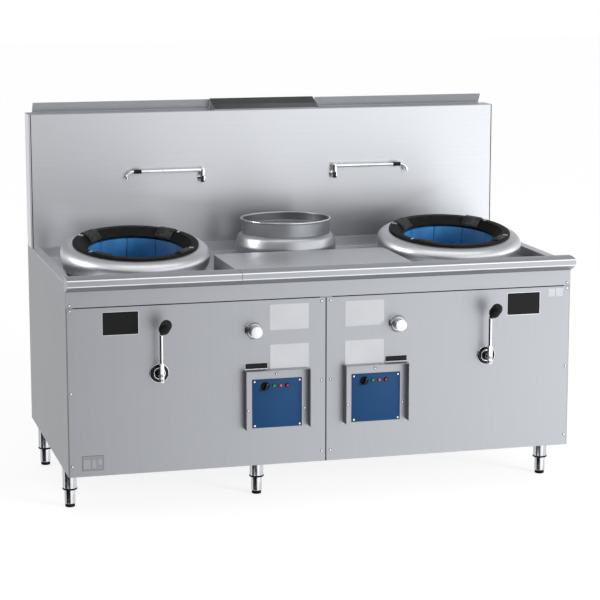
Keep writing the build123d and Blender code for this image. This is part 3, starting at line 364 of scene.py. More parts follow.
class Look:
    """Small builder for a Principled material's node tree."""

    def __init__(self, name, color, metallic, roughness, **sockets):
        self.material = bpy.data.materials.new(name)
        self.material.use_nodes = True
        self.nodes = self.material.node_tree.nodes
        self.links = self.material.node_tree.links
        self.shader = self.nodes["Principled BSDF"]
        self.set(self.shader, Base_Color=(*color, 1), Metallic=metallic, Roughness=roughness, **sockets)
        self.color = color
        self.coords = self.new("TexCoord").outputs["Object"]

    @staticmethod
    def set(node, **sockets):
        for socket, value in sockets.items():
            node.inputs[socket.replace("_", " ")].default_value = value
        return node

    def new(self, kind, **sockets):
        return self.set(self.nodes.new(f"ShaderNode{kind}"), **sockets)

    def axes(self):
        """X, Y and Z of the piece's own coordinates."""
        node = self.new("SeparateXYZ")
        self.links.new(self.coords, node.inputs[0])
        return node.outputs

    def noise(self, scale, detail=3.0, stretch=(1, 1, 1), source=None):
        mapping = self.new("Mapping", Scale=stretch)
        self.links.new(source or self.coords, mapping.inputs["Vector"])
        noise = self.new("TexNoise", Scale=scale, Detail=detail, Roughness=0.55)
        self.links.new(mapping.outputs["Vector"], noise.inputs["Vector"])
        return noise.outputs["Fac"]

    def spread(self, source, low, high, start=0.3, end=0.7):
        """Maps a value from start..end to low..high."""
        node = self.new("MapRange", From_Min=start, From_Max=end, To_Min=low, To_Max=high)
        self.links.new(source, node.inputs["Value"])
        return node.outputs["Result"]

    def feed(self, sockets, values):
        """Gives each socket its colour, its number or the output it hangs on."""
        for socket, value in zip(sockets, values):
            if isinstance(value, bpy.types.NodeSocket):
                self.links.new(value, socket)
            else:
                socket.default_value = (*value, 1) if isinstance(value, tuple) else value

    def math(self, operation, a, b):
        node = self.new("Math")
        node.operation = operation
        self.feed(node.inputs, (a, b))
        return node.outputs["Value"]

    def blend(self, a, b, share):
        """Share of the first value with the rest of the second."""
        return self.math("ADD", self.math("MULTIPLY", a, share), self.math("MULTIPLY", b, 1 - share))

    def mix(self, factor, a, b):
        node = self.new("Mix")
        node.data_type = "RGBA"
        self.feed((node.inputs[0], node.inputs[6], node.inputs[7]), (factor, a, b))
        return node.outputs[2]

    def tint(self, factor, dark, bright):
        """Colour between dark and bright times the base colour."""
        low = tuple(c * dark for c in self.color)
        high = tuple(min(1, c * bright) for c in self.color)
        return self.mix(factor, low, high)

    def use(self, color, roughness):
        self.links.new(color, self.shader.inputs["Base Color"])
        if roughness is not None:
            self.links.new(roughness, self.shader.inputs["Roughness"])

    def bump(self, height, distance, strength):
        node = self.new("Bump", Strength=strength, Distance=distance)
        self.links.new(height, node.inputs["Height"])
        self.links.new(node.outputs["Normal"], self.shader.inputs["Normal"])
        return self.material

    def grained(self, grit, patches, tones, rough, bump=None, start=0.3):
        """Colour from broad patches, roughness and bump from a fine grit, both (scale, detail).

        tones are two colours, or two factors of the base colour."""
        fine = self.noise(*grit)
        broad = self.spread(self.noise(*patches) if patches else fine, 0, 1, start, 1 - start)
        color = self.mix(broad, *tones) if isinstance(tones[0], tuple) else self.tint(broad, *tones)
        self.use(color, self.spread(fine, *rough) if rough else None)
        return self.bump(fine, *bump) if bump else self.material


ALONG_X = (9.0, 900.0, 900.0)
ALONG_Y = (900.0, 9.0, 900.0)
ALONG_Z = (900.0, 900.0, 9.0)
COARSE_GRAIN = 0.23  # coarse over fine grain
SMEAR = 0.75  # anisotropy of a sheet whose reflections are drawn out
PAINTED_SHADE_DARK = 0.5  # darkest painted shade, as a share of the sheet's own colour


def steel_sheet(name, color, roughness, grain, smear=None, painted_shade=()):
    """Ground stainless sheet: fine grain along one direction, faint cloudiness from handling.

    smear is the tangent of drawn-out reflections. Each row of painted shade (axis, start, end, low, high) is a soft
    step, and the highest is the share of the sheet's own colour over a darker one, so the sheet is painted darker where
    it would lie in shade."""
    look = Look(name, color, 1.0, roughness)
    if smear:
        across = look.new("CombineXYZ", **dict(zip("XYZ", smear)))
        look.set(look.shader, Anisotropic=SMEAR)
        look.links.new(across.outputs[0], look.shader.inputs["Tangent"])
    fine = look.noise(1.0, 2.0, grain)
    coarse = look.noise(1.0, 2.0, tuple(v * COARSE_GRAIN for v in grain))
    streaks = look.blend(fine, coarse, 0.6)
    shade = look.blend(streaks, look.noise(3.1), 0.7)
    color_out = look.tint(look.spread(shade, 0, 1, 0.38, 0.62), 0.955, 1.035)
    # Painted shade: the colour darkens towards a darker copy wherever every row's share is low
    if painted_shade:
        parts = look.axes()
        share = 0.0
        for axis, start, end, low, high in painted_shade:
            step = look.spread(parts[axis], low, high, start, end)
            step.node.interpolation_type = "SMOOTHSTEP"
            share = look.math("MAXIMUM", share, step)
        color_out = look.mix(share, tuple(c * PAINTED_SHADE_DARK for c in color), color_out)
    look.use(color_out, look.spread(shade, roughness - 0.035, roughness + 0.045, 0.35, 0.65))
    return look.bump(streaks, 0.00002, 0.5)


def spun_steel(name, color, roughness):
    """Spun sheet: fine grooves round the local axis."""
    look = Look(name, color, 1.0, roughness)
    parts = look.axes()
    across = look.math("ADD", look.math("MULTIPLY", parts["X"], parts["X"]),
                       look.math("MULTIPLY", parts["Y"], parts["Y"]))
    joined = look.new("CombineXYZ")
    look.links.new(look.math("SQRT", across, 0), joined.inputs["X"])
    look.links.new(parts["Z"], joined.inputs["Z"])
    grooves = look.noise(700.0, 2.0, source=joined.outputs[0])
    shade = look.blend(grooves, look.noise(5.0), 0.6)
    look.use(look.tint(look.spread(shade, 0, 1, 0.38, 0.62), 0.95, 1.04),
             look.spread(shade, roughness - 0.03, roughness + 0.04, 0.35, 0.65))
    return look.bump(grooves, 0.00002, 0.4)


def cast_iron(name, tone):
    look = Look(name, (tone, tone, tone), 0.0, 0.5, Specular_IOR_Level=0.08)
    return look.grained((700.0, 4.0), (26.0, 3.0), (0.7, 1.35), (0.42, 0.62), (0.00035, 0.5), start=0.4)


def rough_casting():
    look = Look("casting_bare", (0.11, 0.105, 0.10), 0.5, 0.6)
    return look.grained((420.0, 4.0), (18.0, 3.0), ((0.07, 0.065, 0.062), (0.17, 0.15, 0.13)), (0.5, 0.72),
                        (0.0005, 0.5))


def lining_blue():
    look = Look("lining_blue", (0.04, 0.19, 0.42), 0.0, 0.62, Specular_IOR_Level=0.3)
    return look.grained((520.0, 3.0), (11.0, 4.0), ((0.028, 0.165, 0.40), (0.045, 0.225, 0.52)), (0.52, 0.72),
                        (0.0003, 0.4), start=0.35)


def chrome(name, color, roughness):
    look = Look(name, color, 1.0, roughness)
    return look.grained((60.0, 3.0), None, (0.97, 1.02), (roughness * 0.7, roughness * 1.5))


def plastic(name, color, roughness, grain=900.0, depth=0.00006, specular=0.45):
    look = Look(name, color, 0.0, roughness, Specular_IOR_Level=specular)
    return look.grained((grain, 2.0), (35.0, 3.0), (0.85, 1.2), (roughness - 0.06, roughness + 0.08), (depth, 0.5))


def painted(name, color, roughness, specular=0.5):
    """Smooth enamel with a faint orange peel."""
    look = Look(name, color, 0.0, roughness, Specular_IOR_Level=specular)
    return look.grained((240.0, 2.0), (9.0, 2.0), (0.96, 1.04), (roughness - 0.04, roughness + 0.05), (0.00008, 0.4))


def lens(name, color):
    """Moulded, faintly glowing lamp lens under a clear coat."""
    look = Look(name, color, 0.0, 0.22, Coat_Weight=0.5, Coat_Roughness=0.05, Emission_Color=(*color, 1),
                Emission_Strength=0.05)
    return look.grained((1500.0, 1.0), None, (0.85, 1.15), None, (0.00005, 0.3))


STEEL = (0.395, 0.405, 0.425)
STEEL_TOP = (0.56, 0.57, 0.59)
# Painted shade on the splash: darker low down above the deck, fading out towards its left and right ends
PAINTED_SHADE_TOP = ("Z", (DECK + 35) * MM, (DECK + 195) * MM, 0, 1)
PAINTED_SHADE_LEFT = ("X", -0.7, 0.25, 1, 0)
PAINTED_SHADE_RIGHT = ("X", 0.4, 0.75, 0, 1)

sheet_x = steel_sheet("steel_grain_x", STEEL, 0.42, ALONG_X)
top_x = steel_sheet("steel_top_grain_x", STEEL_TOP, 0.38, ALONG_X)
# Much lighter copy of the sheet steel for rounded folds and rim edges: a painted highlight
fold_highlight_steel = steel_sheet("steel_fold_painted_highlight", (0.88, 0.89, 0.91), 0.3, ALONG_X)
splash_steel = steel_sheet("steel_splash", STEEL_TOP, 0.33, ALONG_X, (0.0, 0.0, 1.0), (PAINTED_SHADE_TOP, PAINTED_SHADE_LEFT, PAINTED_SHADE_RIGHT))
sheet_z = steel_sheet("steel_grain_z", STEEL, 0.42, ALONG_Z)
# Side panels: the sheet steel painted darker, as painted shade on the flanks
side_shaded_z = steel_sheet("steel_side_painted_shade", (0.285, 0.292, 0.307), 0.42, ALONG_Z)
inner_sheet = steel_sheet("steel_inner", (0.34, 0.345, 0.355), 0.45, ALONG_Z)
spun = spun_steel("steel_spun", (0.62, 0.63, 0.65), 0.38)
spun_pot = spun_steel("steel_spun_pot", (0.42, 0.43, 0.45), 0.36)
# Dark copy of the spun steel: painted shade inside the pot's collar and on the ledge inside the domes
spun_shaded = spun_steel("steel_spun_painted_shade", (0.20, 0.20, 0.205), 0.45)
iron = cast_iron("cast_iron_black", 0.009)
iron_light = cast_iron("cast_iron_worn", 0.045)
iron_edge = spun_steel("steel_ground", (0.5, 0.5, 0.5), 0.35)
# Near-black iron for the pads' dots and for painted shade on the ring's flat
iron_dot_and_shade = cast_iron("cast_iron_dimple_and_painted_shade", 0.003)
casting = rough_casting()
blue_lining = lining_blue()
bright = chrome("chrome", (0.86, 0.87, 0.88), 0.08)
bright_dark = chrome("chrome_worn", (0.5, 0.51, 0.52), 0.16)
bright_satin = chrome("chrome_satin", (0.78, 0.79, 0.81), 0.34)
bright_leg = chrome("chrome_leg", (0.60, 0.61, 0.63), 0.16)
black = plastic("plastic_black", (0.009, 0.009, 0.0095), 0.42, specular=0.16)
black_gloss = plastic("plastic_black_gloss", (0.005, 0.005, 0.0055), 0.2, depth=0.00002, specular=0.25)
rubber = plastic("rubber_black", (0.008, 0.008, 0.008), 0.6, grain=600.0, specular=0.1)
grey_box = plastic("box_grey", (0.16, 0.16, 0.165), 0.45)
blue_paint = painted("paint_blue", (0.013, 0.066, 0.18), 0.42, specular=0.2)
plate_black = painted("plate_black", (0.012, 0.012, 0.013), 0.4, specular=0.12)
label_white = painted("label_white", (0.62, 0.63, 0.66), 0.3)
label_black = painted("label_black", (0.012, 0.012, 0.013), 0.3, specular=0.15)
pipe_yellow = painted("paint_yellow", (0.62, 0.40, 0.03), 0.4)
copper = steel_sheet("copper_pipe", (0.72, 0.36, 0.22), 0.3, ALONG_Y)
plate_metal = steel_sheet("plate_metal", (0.33, 0.335, 0.35), 0.4, ALONG_X)
plate_rim = steel_sheet("plate_rim", (0.17, 0.17, 0.175), 0.4, ALONG_X)
plate_field = steel_sheet("plate_field", (0.40, 0.405, 0.42), 0.4, ALONG_X)
lamp_green = lens("lamp_green", (0.012, 0.20, 0.03))
lamp_pink = lens("lamp_pink", (0.42, 0.10, 0.10))
lamp_red = lens("lamp_red", (0.36, 0.012, 0.014))


# ---- cabinet sheets

for look, edges, nodes in (
        (sheet_x, {}, ("front_fascia",)),
        (top_x, {}, ("splash_roof", "flue_cowl", "work_shelf")),
        (top_x, {"radius": 1.4}, ("hob_pan_left", "hob_pan_right")),
        (sheet_x, {"fold": 3.2}, ("front_nosing_left", "front_nosing_right")),
        (splash_steel, {}, ("splash_front", "splash_cheeks")),
        (sheet_z, {}, ("front_panel_left", "front_panel_right", "rear_panels", "control_housing_left",
                       "control_housing_right")),
        (side_shaded_z, {}, ("side_panel_left", "side_panel_right")),
        (inner_sheet, {}, ("base_tray", "centre_post", "flue_duct"))):
    for node in nodes:
        dressed(node, look, **edges)


def joint_line(name, low, high):
    """Dark strip in a joint between two sheets: painted shade of the gap between them."""
    piece(name, box_mesh(low, high, 0.1), rubber, "cabinet")


CHEEK_X = 892.8  # joint between splash front and cheek
NOSE_X = (span("front_nosing_left")[1].x + span("front_nosing_right")[0].x) / 2
NOSE_FACE = span("front_nosing_left")[0].z + 22
PAN_FRONT = span("hob_pan_left")[0].y
joint_line("joint_panels", (-2.1, FRONT - 0.15, UNDER), (2.1, FRONT + 1.4, PANEL_TOP))
joint_line("joint_nosing", (NOSE_X - 1.8, NOSE_TIP + 0.05, NOSE_FACE + 2.4),
           (NOSE_X + 1.8, NOSE_TIP + 1.6, NOSE_FACE + 21))
for name, side in SIDES:
    joint_line(f"joint_cheek_{name}", (side * CHEEK_X - 1.2, SPLASH - 0.8, PAN + 41),
               (side * CHEEK_X + 1.2, SPLASH + 0.8, ROOF - 3))
# Rolled edges along the pans' outer rims, lighter than their sheet as a painted highlight
for name, x in (("left", span("hob_pan_left")[0].x + 1.9), ("right", span("hob_pan_right")[1].x - 1.9)):
    edge = tube_mesh([Vector((x, y, RIM - 1.5)) for y in (PAN_FRONT + 1, SPLASH - 3)], 1.8, 12)
    piece(f"rim_edge_{name}", edge, fold_highlight_steel, "cabinet")

# CAD nodes that stay, with a better material
for node, look in (("gas_pipes", pipe_yellow), ("water_pipes", copper), ("gas_valves", casting), ("burners", casting),
                   ("ignition_modules", grey_box)):
    mesh = frame["nodes"][node].data
    mesh.materials.clear()
    mesh.materials.append(look)


# ---- wok stations

RING_R = 223.0
RING_FLAT_R = 197.0
RING_BORE_R = 168.0
RING_LIP = 8.3  # dome's lip below the ring's top
DOME_R = 265.0
DOME_BASE_R = 236.0
DOME_LIP_R = 219.0
DOME_Y = STATION_Y + 18.0
DOME_DROP = 41.0  # dome's widest circle below the ring's top
DOME_NECK = PAN + 3.0
DOME_SKIN = 2.0
DOME_ROLL = 0.8  # rounding of the lip
LEDGE = 42.0  # ledge inside the dome, below the ring's top
LINING_TOP, LINING_BOTTOM = -36.0, -150.0
BRICKS = 10
BRICK = [(170.0, LINING_TOP), (190.0, LINING_TOP), (190.0, LINING_BOTTOM), (170.0, LINING_BOTTOM)]
BRICK_GAP = math.asin(0.8 / 170)
PAD_FOOT, PAD_FOOT_Z = 169.0, -17.0
PAD_SLOPE = 22 / 23


def station(side):
    """Frame of a wok station: its origin is the ring's centre, its +Z square to the tilted ring."""
    return at(side * STATION_X, STATION_Y, RING_Z) @ Matrix.Rotation(TILT, 4, "X")


def dome_rows(side):
    """Centre, tilt and radius of the circles that the dome's skin runs through, from pan to lip."""
    low = Vector((0, DOME_Y, DOME_NECK))
    wide = station(side) @ Vector((0, 0, -DOME_DROP * MM)) / MM
    lip = station(side) @ Vector((0, 0, -RING_LIP * MM)) / MM
    rows = [(Vector((0, DOME_Y, PAN)), 0.0, DOME_BASE_R)]
    for degrees in range(90, -1, -9):
        turn = math.radians(degrees)
        share = 1 - math.sin(turn)
        rows.append((low.lerp(wide, share), TILT * share, DOME_BASE_R + (DOME_R - DOME_BASE_R) * math.cos(turn)))
    for degrees in range(5, 91, 5):
        turn = math.radians(degrees)
        radius = DOME_LIP_R + (DOME_R - DOME_LIP_R) * abs(math.cos(turn)) ** 0.9
        rows.append((wide.lerp(lip, math.sin(turn)), TILT, radius))
    return [(Vector((0, centre.y - DOME_Y, centre.z)), tilt, radius) for centre, tilt, radius in rows]


def dome_mesh(side, segments=112):
    """Hollow dome: outer skin, rolled lip and inner skin."""
    bm = bmesh.new()
    skin = dome_rows(side)
    top, tilt, radius = skin[-1]
    down = Matrix.Rotation(tilt, 3, "X") @ Vector((0, 0, -1))
    rolled = [(top, tilt, radius - DOME_ROLL), (top + down * DOME_ROLL, tilt, radius - DOME_SKIN)]
    inside = [(centre, tilt, radius - DOME_SKIN) for centre, tilt, radius in reversed(skin[:-1])]
    rows = []
    for centre, tilt, radius in skin + rolled + inside:
        turn = Matrix.Rotation(tilt, 3, "X")
        rows.append([bm.verts.new((centre + turn @ Vector((math.cos(a), math.sin(a), 0)) * radius) * MM)
                     for a in turns(segments)])
    bridge(bm, rows, closed=True)
    return closed_mesh(bm, SHARP_WIDE)


def wok_ring_mesh():
    """Cast ring with four raised pads, a rib beside each, and dimples in the pads."""
    body = ring_mesh([(RING_FLAT_R, 0, 2), (RING_R, 0, 3), (RING_R, -8, 1.5), (213, -8, 1), (213, -22, 3),
        (176, -31, 2), (RING_BORE_R, -27, 2)], 144)
    pad = prism_mesh([(PAD_FOOT, -27), (PAD_FOOT, PAD_FOOT_Z), (192, 5), (214, 5), (214, -4), (200, -4)], 33, 1.4)
    rib = prism_mesh([(169, -27), (169, -20), (196, 3.4), (210, 3.4), (210, -3), (199, -4)], 3.6, 1.0)
    # Painted shade: near-black sectors over the flat's front and back, between the pads
    shade = [(168.3, -26.5), (197.0, 0.25), (212.0, 0.3), (212.0, -0.5), (197.2, -0.5), (169.0, -27.2)]
    shades = [sector_mesh(shade, math.radians(middle - 34), math.radians(middle + 34)) for middle in (0, 180)]
    dimple = lathe_mesh([(0, 0.4), (1.6, 0.4, 0.5), (2.6, 0, 0.3), (2.6, -1.5)], 16)
    parts = [(body, iron)] + [(mesh, iron_dot_and_shade) for mesh in shades]
    lean = Matrix.Rotation(-math.atan(PAD_SLOPE), 4, "Y")
    for number in range(4):
        turn = Matrix.Rotation(math.radians(45 + 90 * number), 4, "Z")
        outward = 1 if number in (1, 3) else -1
        parts.append((pad, iron_light, turn))
        parts.append((rib, iron_edge, turn @ at(0, outward * 50, 0)))
        for radius, across in ((174, -22), (174, 20), (187, -23), (187, 22), (180.5, 3)):
            height = PAD_FOOT_Z + (radius - PAD_FOOT) * PAD_SLOPE + 0.2
            parts.append((dimple, iron_dot_and_shade, turn @ at(radius, across, height) @ lean))
    return join_meshes(parts)


def wok_station(side, name):
    place = station(side)
    dome = piece(f"dome_{name}", dome_mesh(side), spun, "cabinet", at(side * STATION_X, DOME_Y, 0))
    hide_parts(f"wok_dome_{name}")
    # The ledge under the ring, in dark spun steel as painted shade
    shelf = ring_mesh([(199, -LEDGE), (252, -LEDGE), (252, -LEDGE - 2.5), (199, -LEDGE - 2.5)], 96)
    piece(f"dome_ledge_{name}", shelf, spun_shaded, "cabinet", place)
    ring = piece(f"ring_{name}", wok_ring_mesh(), iron, f"wok_ring_{name}", place)
    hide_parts(f"wok_ring_{name}")
    bounds = [math.radians(360 / BRICKS * (number + 0.5)) for number in range(BRICKS + 1)]
    parts = [(sector_mesh(BRICK, start + BRICK_GAP, end - BRICK_GAP, 1.6), blue_lining)
             for start, end in zip(bounds, bounds[1:])]
    bricks = piece(f"lining_{name}", join_meshes(parts), blue_lining, "cabinet", place)
    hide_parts(f"chamber_liner_{name}")
    shell = ring_mesh([(190.4, -39.4, 0.5), (215.5, -39.4, 0.8), (215.5, -41.9, 0.8), (193, -41.9, 1.5),
        (193, -153, 4), (46, -153, 1), (46, -150.4, 1), (190.4, -150.4, 1)], 96)
    shell = piece(f"chamber_{name}", shell, blue_lining, "cabinet", place)
    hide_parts(f"chamber_shell_{name}")


for name, side in SIDES:
    wok_station(side, name)


# ---- pot station

SEAT = POT_RIM - 54.0  # collar's seat on the dome
SEAT_GAP = 0.3


def pot_station():
    place = at(0, POT_Y, 0)
    top = SEAT - SEAT_GAP
    dome = ring_mesh([(168, PAN), (174, PAN + 12, 9), (184, PAN + 34, 26), (184, PAN + 62, 30), (176, top - 8, 22),
        (164, top, 5), (150, top), (150, top - 2.5), (164, top - 3, 4), (174, top - 11, 18), (181, PAN + 61, 26),
        (181, PAN + 35, 20), (165.5, PAN)], 128)
    # Painted shadow: a dark ring in the gap where the collar sits on the dome
    shadow_gap_ring = ring_mesh([(150, top - 0.2), (160.6, top - 0.2), (160.6, top + 0.9), (150, top + 0.9)], 128)
    dome = join_meshes([(dome, spun_pot), (shadow_gap_ring, rubber)])
    dome = piece("pot_station_dome", dome, spun, "cabinet", place)
    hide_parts("pot_dome")
    ring = ring_mesh([(147, SEAT - 14, 0.8), (147, SEAT, 1), (161, SEAT, 1.5), (161, POT_RIM - 7, 2),
        (166, POT_RIM - 5.5, 2.2), (166, POT_RIM, 3), (158.5, POT_RIM, 2.6), (158.5, POT_RIM - 33, 3),
        (90, POT_RIM - 33, 1), (90, POT_RIM - 35.2, 1), (158.5, POT_RIM - 35.2), (158.5, SEAT + 2.2, 1),
        (144.6, SEAT + 2.2, 1), (144.6, SEAT - 14, 0.8)], 128)
    # Painted shade: a dark skin just inside the collar's inner wall
    lining = ring_mesh([(158.45, POT_RIM - 4), (158.45, POT_RIM - 32.9), (158.1, POT_RIM - 32.9),
        (158.1, POT_RIM - 4)], 128)
    bead = ring_mesh([(163.4, POT_RIM - 2.2), (166, POT_RIM - 2.2, 0.8), (166, POT_RIM, 1.2), (163.4, POT_RIM, 0.6)],
        128)
    ring = join_meshes([(ring, spun_pot), (lining, spun_shaded), (bead, bright)])
    ring = piece("pot_station_collar", ring, spun, "pot_ring", place)
    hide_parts("pot_ring")


pot_station()


# ---- knee levers

LEVER_Y = FRONT - 42.0
LEVER_REACH = 140.0  # rod's bend above the lever's axis
KNOB_RIBS = 12
KNOB_LEAN = math.radians(45)
KNOB_HEADING = math.radians(16)
KNOB_AXIS = Vector((math.sin(KNOB_LEAN) * math.sin(KNOB_HEADING), -math.sin(KNOB_LEAN) * math.cos(KNOB_HEADING),
                    math.cos(KNOB_LEAN)))
KNOB_SEAT = KNOB_AXIS * 16  # from the rod's bend to the knob


def hub(side, name):
    """Round plate on the front through which the lever's spindle comes."""
    plate = ring_mesh([(9.05, 0), (33.5, 0), (33.5, 3.2, 1.4), (31.4, 4, 0.5), (31.2, 2.6, 0.4), (9.05, 2.6)], 80)
    face = ring_mesh([(20.4, 2.5), (31.3, 2.5), (31.0, 3.5, 0.5), (20.4, 4.4, 0.5)], 80)
    boss = ring_mesh([(17, 2.4), (20.6, 2.4), (20.6, 7, 0.8), (19.6, 8, 0.6), (17.8, 8, 0.6), (17, 7, 0.6)], 72)
    dish = ring_mesh([(9.05, 2.4), (17.1, 2.4), (17.1, 5.2, 0.8), (11.6, 4.4, 1), (11, 6.6, 0.8), (9.05, 6.6)], 72)
    parts = [(plate, bright), (face, black_gloss), (boss, bright), (dish, black_gloss)]
    return piece(f"hub_{name}", join_meshes(parts), bright, "cabinet",
                 facing_front(side * STATION_X, FRONT, LEVER.z))


def knob_ribs(angle, height):
    """Radius factor of the ribbed grip, plain near both ends."""
    level = min(1.0, max(0.0, (height - 6) / 8)) * min(1.0, max(0.0, (49 - height) / 8))
    return 0.97 - 0.05 * level * max(0.0, math.cos(KNOB_RIBS * angle)) ** 3


def lever(side, name):
    body = f"gas_lever_{name}"
    x = side * STATION_X
    bend = Vector((x, LEVER_Y, LEVER.z + LEVER_REACH))
    spindle = lathe_mesh([(0, 0), (8, 0, 0.6), (9, 1.2, 0.6), (9, 82, 0.5), (0, 82)], 40)
    bar = box_mesh((x - 8, LEVER_Y - 6, LEVER.z - 25), (x + 8, LEVER_Y + 6, LEVER.z + 42), 2.4)
    rod = tube_mesh(round_route([(x, LEVER_Y, LEVER.z + 36), bend, bend + KNOB_SEAT], 10.0), 6.0, 32)
    ferrule = ring_mesh([(5.9, 4), (6.8, 4, 0.4), (8, 8, 0.8), (8, 16.5, 0.5), (5.9, 16.5)], 32)
    nut = lathe_mesh([(0, 0), (6.2, 0), (6.2, 2.6, 1), (3.2, 3.4, 0.6), (2.9, 1.8, 0.4), (0, 1.6)], 6)
    parts = [(spindle, bright, facing_front(x, FRONT + 44, LEVER.z)), (bar, bright), (rod, bright),
             (ferrule, black_gloss, along(KNOB_AXIS, bend))]
    parts += [(nut, bright_dark, facing_front(x, LEVER_Y - 5.8, LEVER.z + drop)) for drop in (0.0, -16.0)]
    obj = piece(f"lever_{name}", join_meshes(parts), bright, body)
    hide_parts(f"gas_lever_{name}")
    capsule = lathe_mesh([(0, 0), (9, 0, 2), (15.5, 3, 5), (19.4, 12, 9), (19.4, 41, 11), (14, 52.4, 8), (0, 54)],
        96, wave=knob_ribs)
    capsule.transform(along(KNOB_AXIS, bend + KNOB_SEAT))
    grip = piece(f"knob_{name}", capsule, black, body)
    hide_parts(f"lever_knob_{name}")


hubs = [hub(side, name) for name, side in SIDES]
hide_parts("lever_escutcheons")
for name, side in SIDES:
    lever(side, name)


# ---- push valves and spouts

BRACKET_DROP = 33.0  # bracket's stub below the spout
ARM_END = 232.0
TIP_X, TIP_BEND = 261.0, 26.0


def push_valve(side, name):
    place = facing_front(side * TAP_X, FRONT, TAP_Z)
    body = ring_mesh([(6.3, -55, 1), (21, -55, 2), (21, 0), (31, 0), (31, 3, 1.2), (29, 4.6, 1.2), (24.6, 14.5, 2),
        (24, 16, 0.8), (20.3, 16, 0.8), (20.3, 3), (6.3, 3)], 80)
    obj = piece(f"push_valve_{name}", body, bright_leg, "cabinet", place)
    cap = lathe_mesh([(0, -20), (6, -20, 0.6), (6, 14), (20, 14, 1), (20, 38, 1), (19.2, 39, 0.4), (19.2, 40.4, 0.4),
        (20, 41.2, 0.6), (20, 48, 1.2), (0, 48)], 80)
    cap = piece(f"push_cap_{name}", cap, bright_satin, f"tap_button_{name}", place)
    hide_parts(f"tap_button_{name}")
    return obj


valves = [push_valve(side, name) for name, side in SIDES]
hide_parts("tap_valves")


def wall_bracket(side, name):
    """Stub out of the splash front and the upright that the spout turns on."""
    low = SPOUT.z - BRACKET_DROP
    place = facing_front(side * TAP_X, SPLASH, low)
    rose = lathe_mesh([(0, 0), (15, 0), (15, 1.2, 0.6), (9.5, 4, 2), (0, 4)], 48)
    stub = lathe_mesh([(0, -1.2), (6.5, -1.2), (6.5, 22), (0, 22)], 32)
    upright = box_mesh((-7.2, -7.4, -12), (7.2, 7.4, 10), 1.0)
    # Painted reflection: a black strip down the upright's front, where its chrome mirrors dark surroundings
    dark_reflection_strip = box_mesh((-7.2, -8, -12), (3.8, -7.2, 9.8), 0.3)
    pin = lathe_mesh([(0, 9), (5, 9), (5, 29.6, 0.8), (0, 29.6)], 32)
    spot = place.inverted() @ at(side * TAP_X, SPOUT.y, low)
    parts = [(rose, bright), (stub, bright), (upright, bright, spot), (dark_reflection_strip, black_gloss, spot),
             (pin, bright_dark, spot)]
    return piece(f"bracket_{name}", join_meshes(parts), bright, "cabinet", place)


def swing_spout(side, name):
    """Arm with its black sleeve and the tip bent down, open at its end."""
    pivot = lathe_mesh([(0, -22.7), (7.2, -22.7, 0.8), (8, -21.4, 0.8), (8, 6, 2.5), (5.6, 9, 1.5), (0, 9)], 40)
    arm = [Vector((side * x, 0, 0)) for x in (2, 149, 150.5, ARM_END)]
    tube = tube_mesh(arm, [6.5, 6.5, 5.5, 5.5], 32)
    sleeve = ring_mesh([(5.4, 0), (7, 0, 0.6), (7.5, 1.5, 0.6), (7.5, 6), (7, 7, 0.4), (7.5, 8, 0.4), (7.5, 21),
        (7, 22, 0.4), (7.5, 23, 0.4), (7.5, 27.5, 0.6), (7, 29, 0.6), (5.4, 29)], 40)
    route = [Vector((side * (TIP_X - 3), 0, 0))]
    route += [Vector((side * (TIP_X + TIP_BEND * math.sin(a)), 0, -TIP_BEND + TIP_BEND * math.cos(a)))
              for a in map(math.radians, range(0, 91, 6))]
    tip = tube_mesh(route, 5.5, 32, bore=4.0)
    parts = [(pivot, bright), (tube, bright), (sleeve, black, along((side, 0, 0), (side * ARM_END, 0, 0))),
             (tip, bright)]
    obj = piece(f"spout_arm_{name}", join_meshes(parts), bright, f"spout_{name}",
                at(side * TAP_X, SPOUT.y, SPOUT.z))
    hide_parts(f"spout_{name}")


brackets = [wall_bracket(side, name) for name, side in SIDES]
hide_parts("spout_brackets")
for name, side in SIDES:
    swing_spout(side, name)


# ---- control plates

GUARD_X = 177.5
GUARD_SCREW_Z = PLATE_LOW + 62.0
PLATE_SHIFT = 2.5  # plate's middle from the guard's
PLATE_WIDTH = 176.0
PLATE_SCREW = 8.0  # screws from the plate's edges
SELECTOR_X = 46.0  # places along the plate, from its left edge
LAMP_X, LAMP_STEP = 77.0, 23.2
SELECTOR_LEAN = Matrix.Rotation(math.radians(-24), 4, "Z")


def screw_mesh(radius, height):
    """Pan-head screw on a dark ring, with a dark square on its head as painted shade of its recess."""
    head = lathe_mesh([(0, 0), (radius, 0), (radius, height * 0.45, 0.5), (radius * 0.62, height, 0.9), (0, height)],
        24)
    # Painted shade: a black square standing for the shadowed recess
    recess = lathe_mesh([(0, height - 0.3), (radius * 0.26, height - 0.3), (radius * 0.22, height + 0.06),
        (0, height + 0.06)], 4)
    washer = ring_mesh([(radius * 0.9, 0), (radius * 1.3, 0), (radius * 1.3, 0.4, 0.2), (radius * 0.9, 0.4)], 32)
    return join_meshes([(head, bright), (recess, black_gloss), (washer, plate_black)])


SCREW = screw_mesh(3.8, 1.9)


def screws(name, places):
    """One piece of screws that face the user."""
    bm = bmesh.new()
    for place in places:
        copy = SCREW.copy()
        copy.transform(facing_front(*place))
        bm.from_mesh(copy)
    piece(name, smooth_mesh(bm, looks=SCREW.materials), bright, "cabinet")


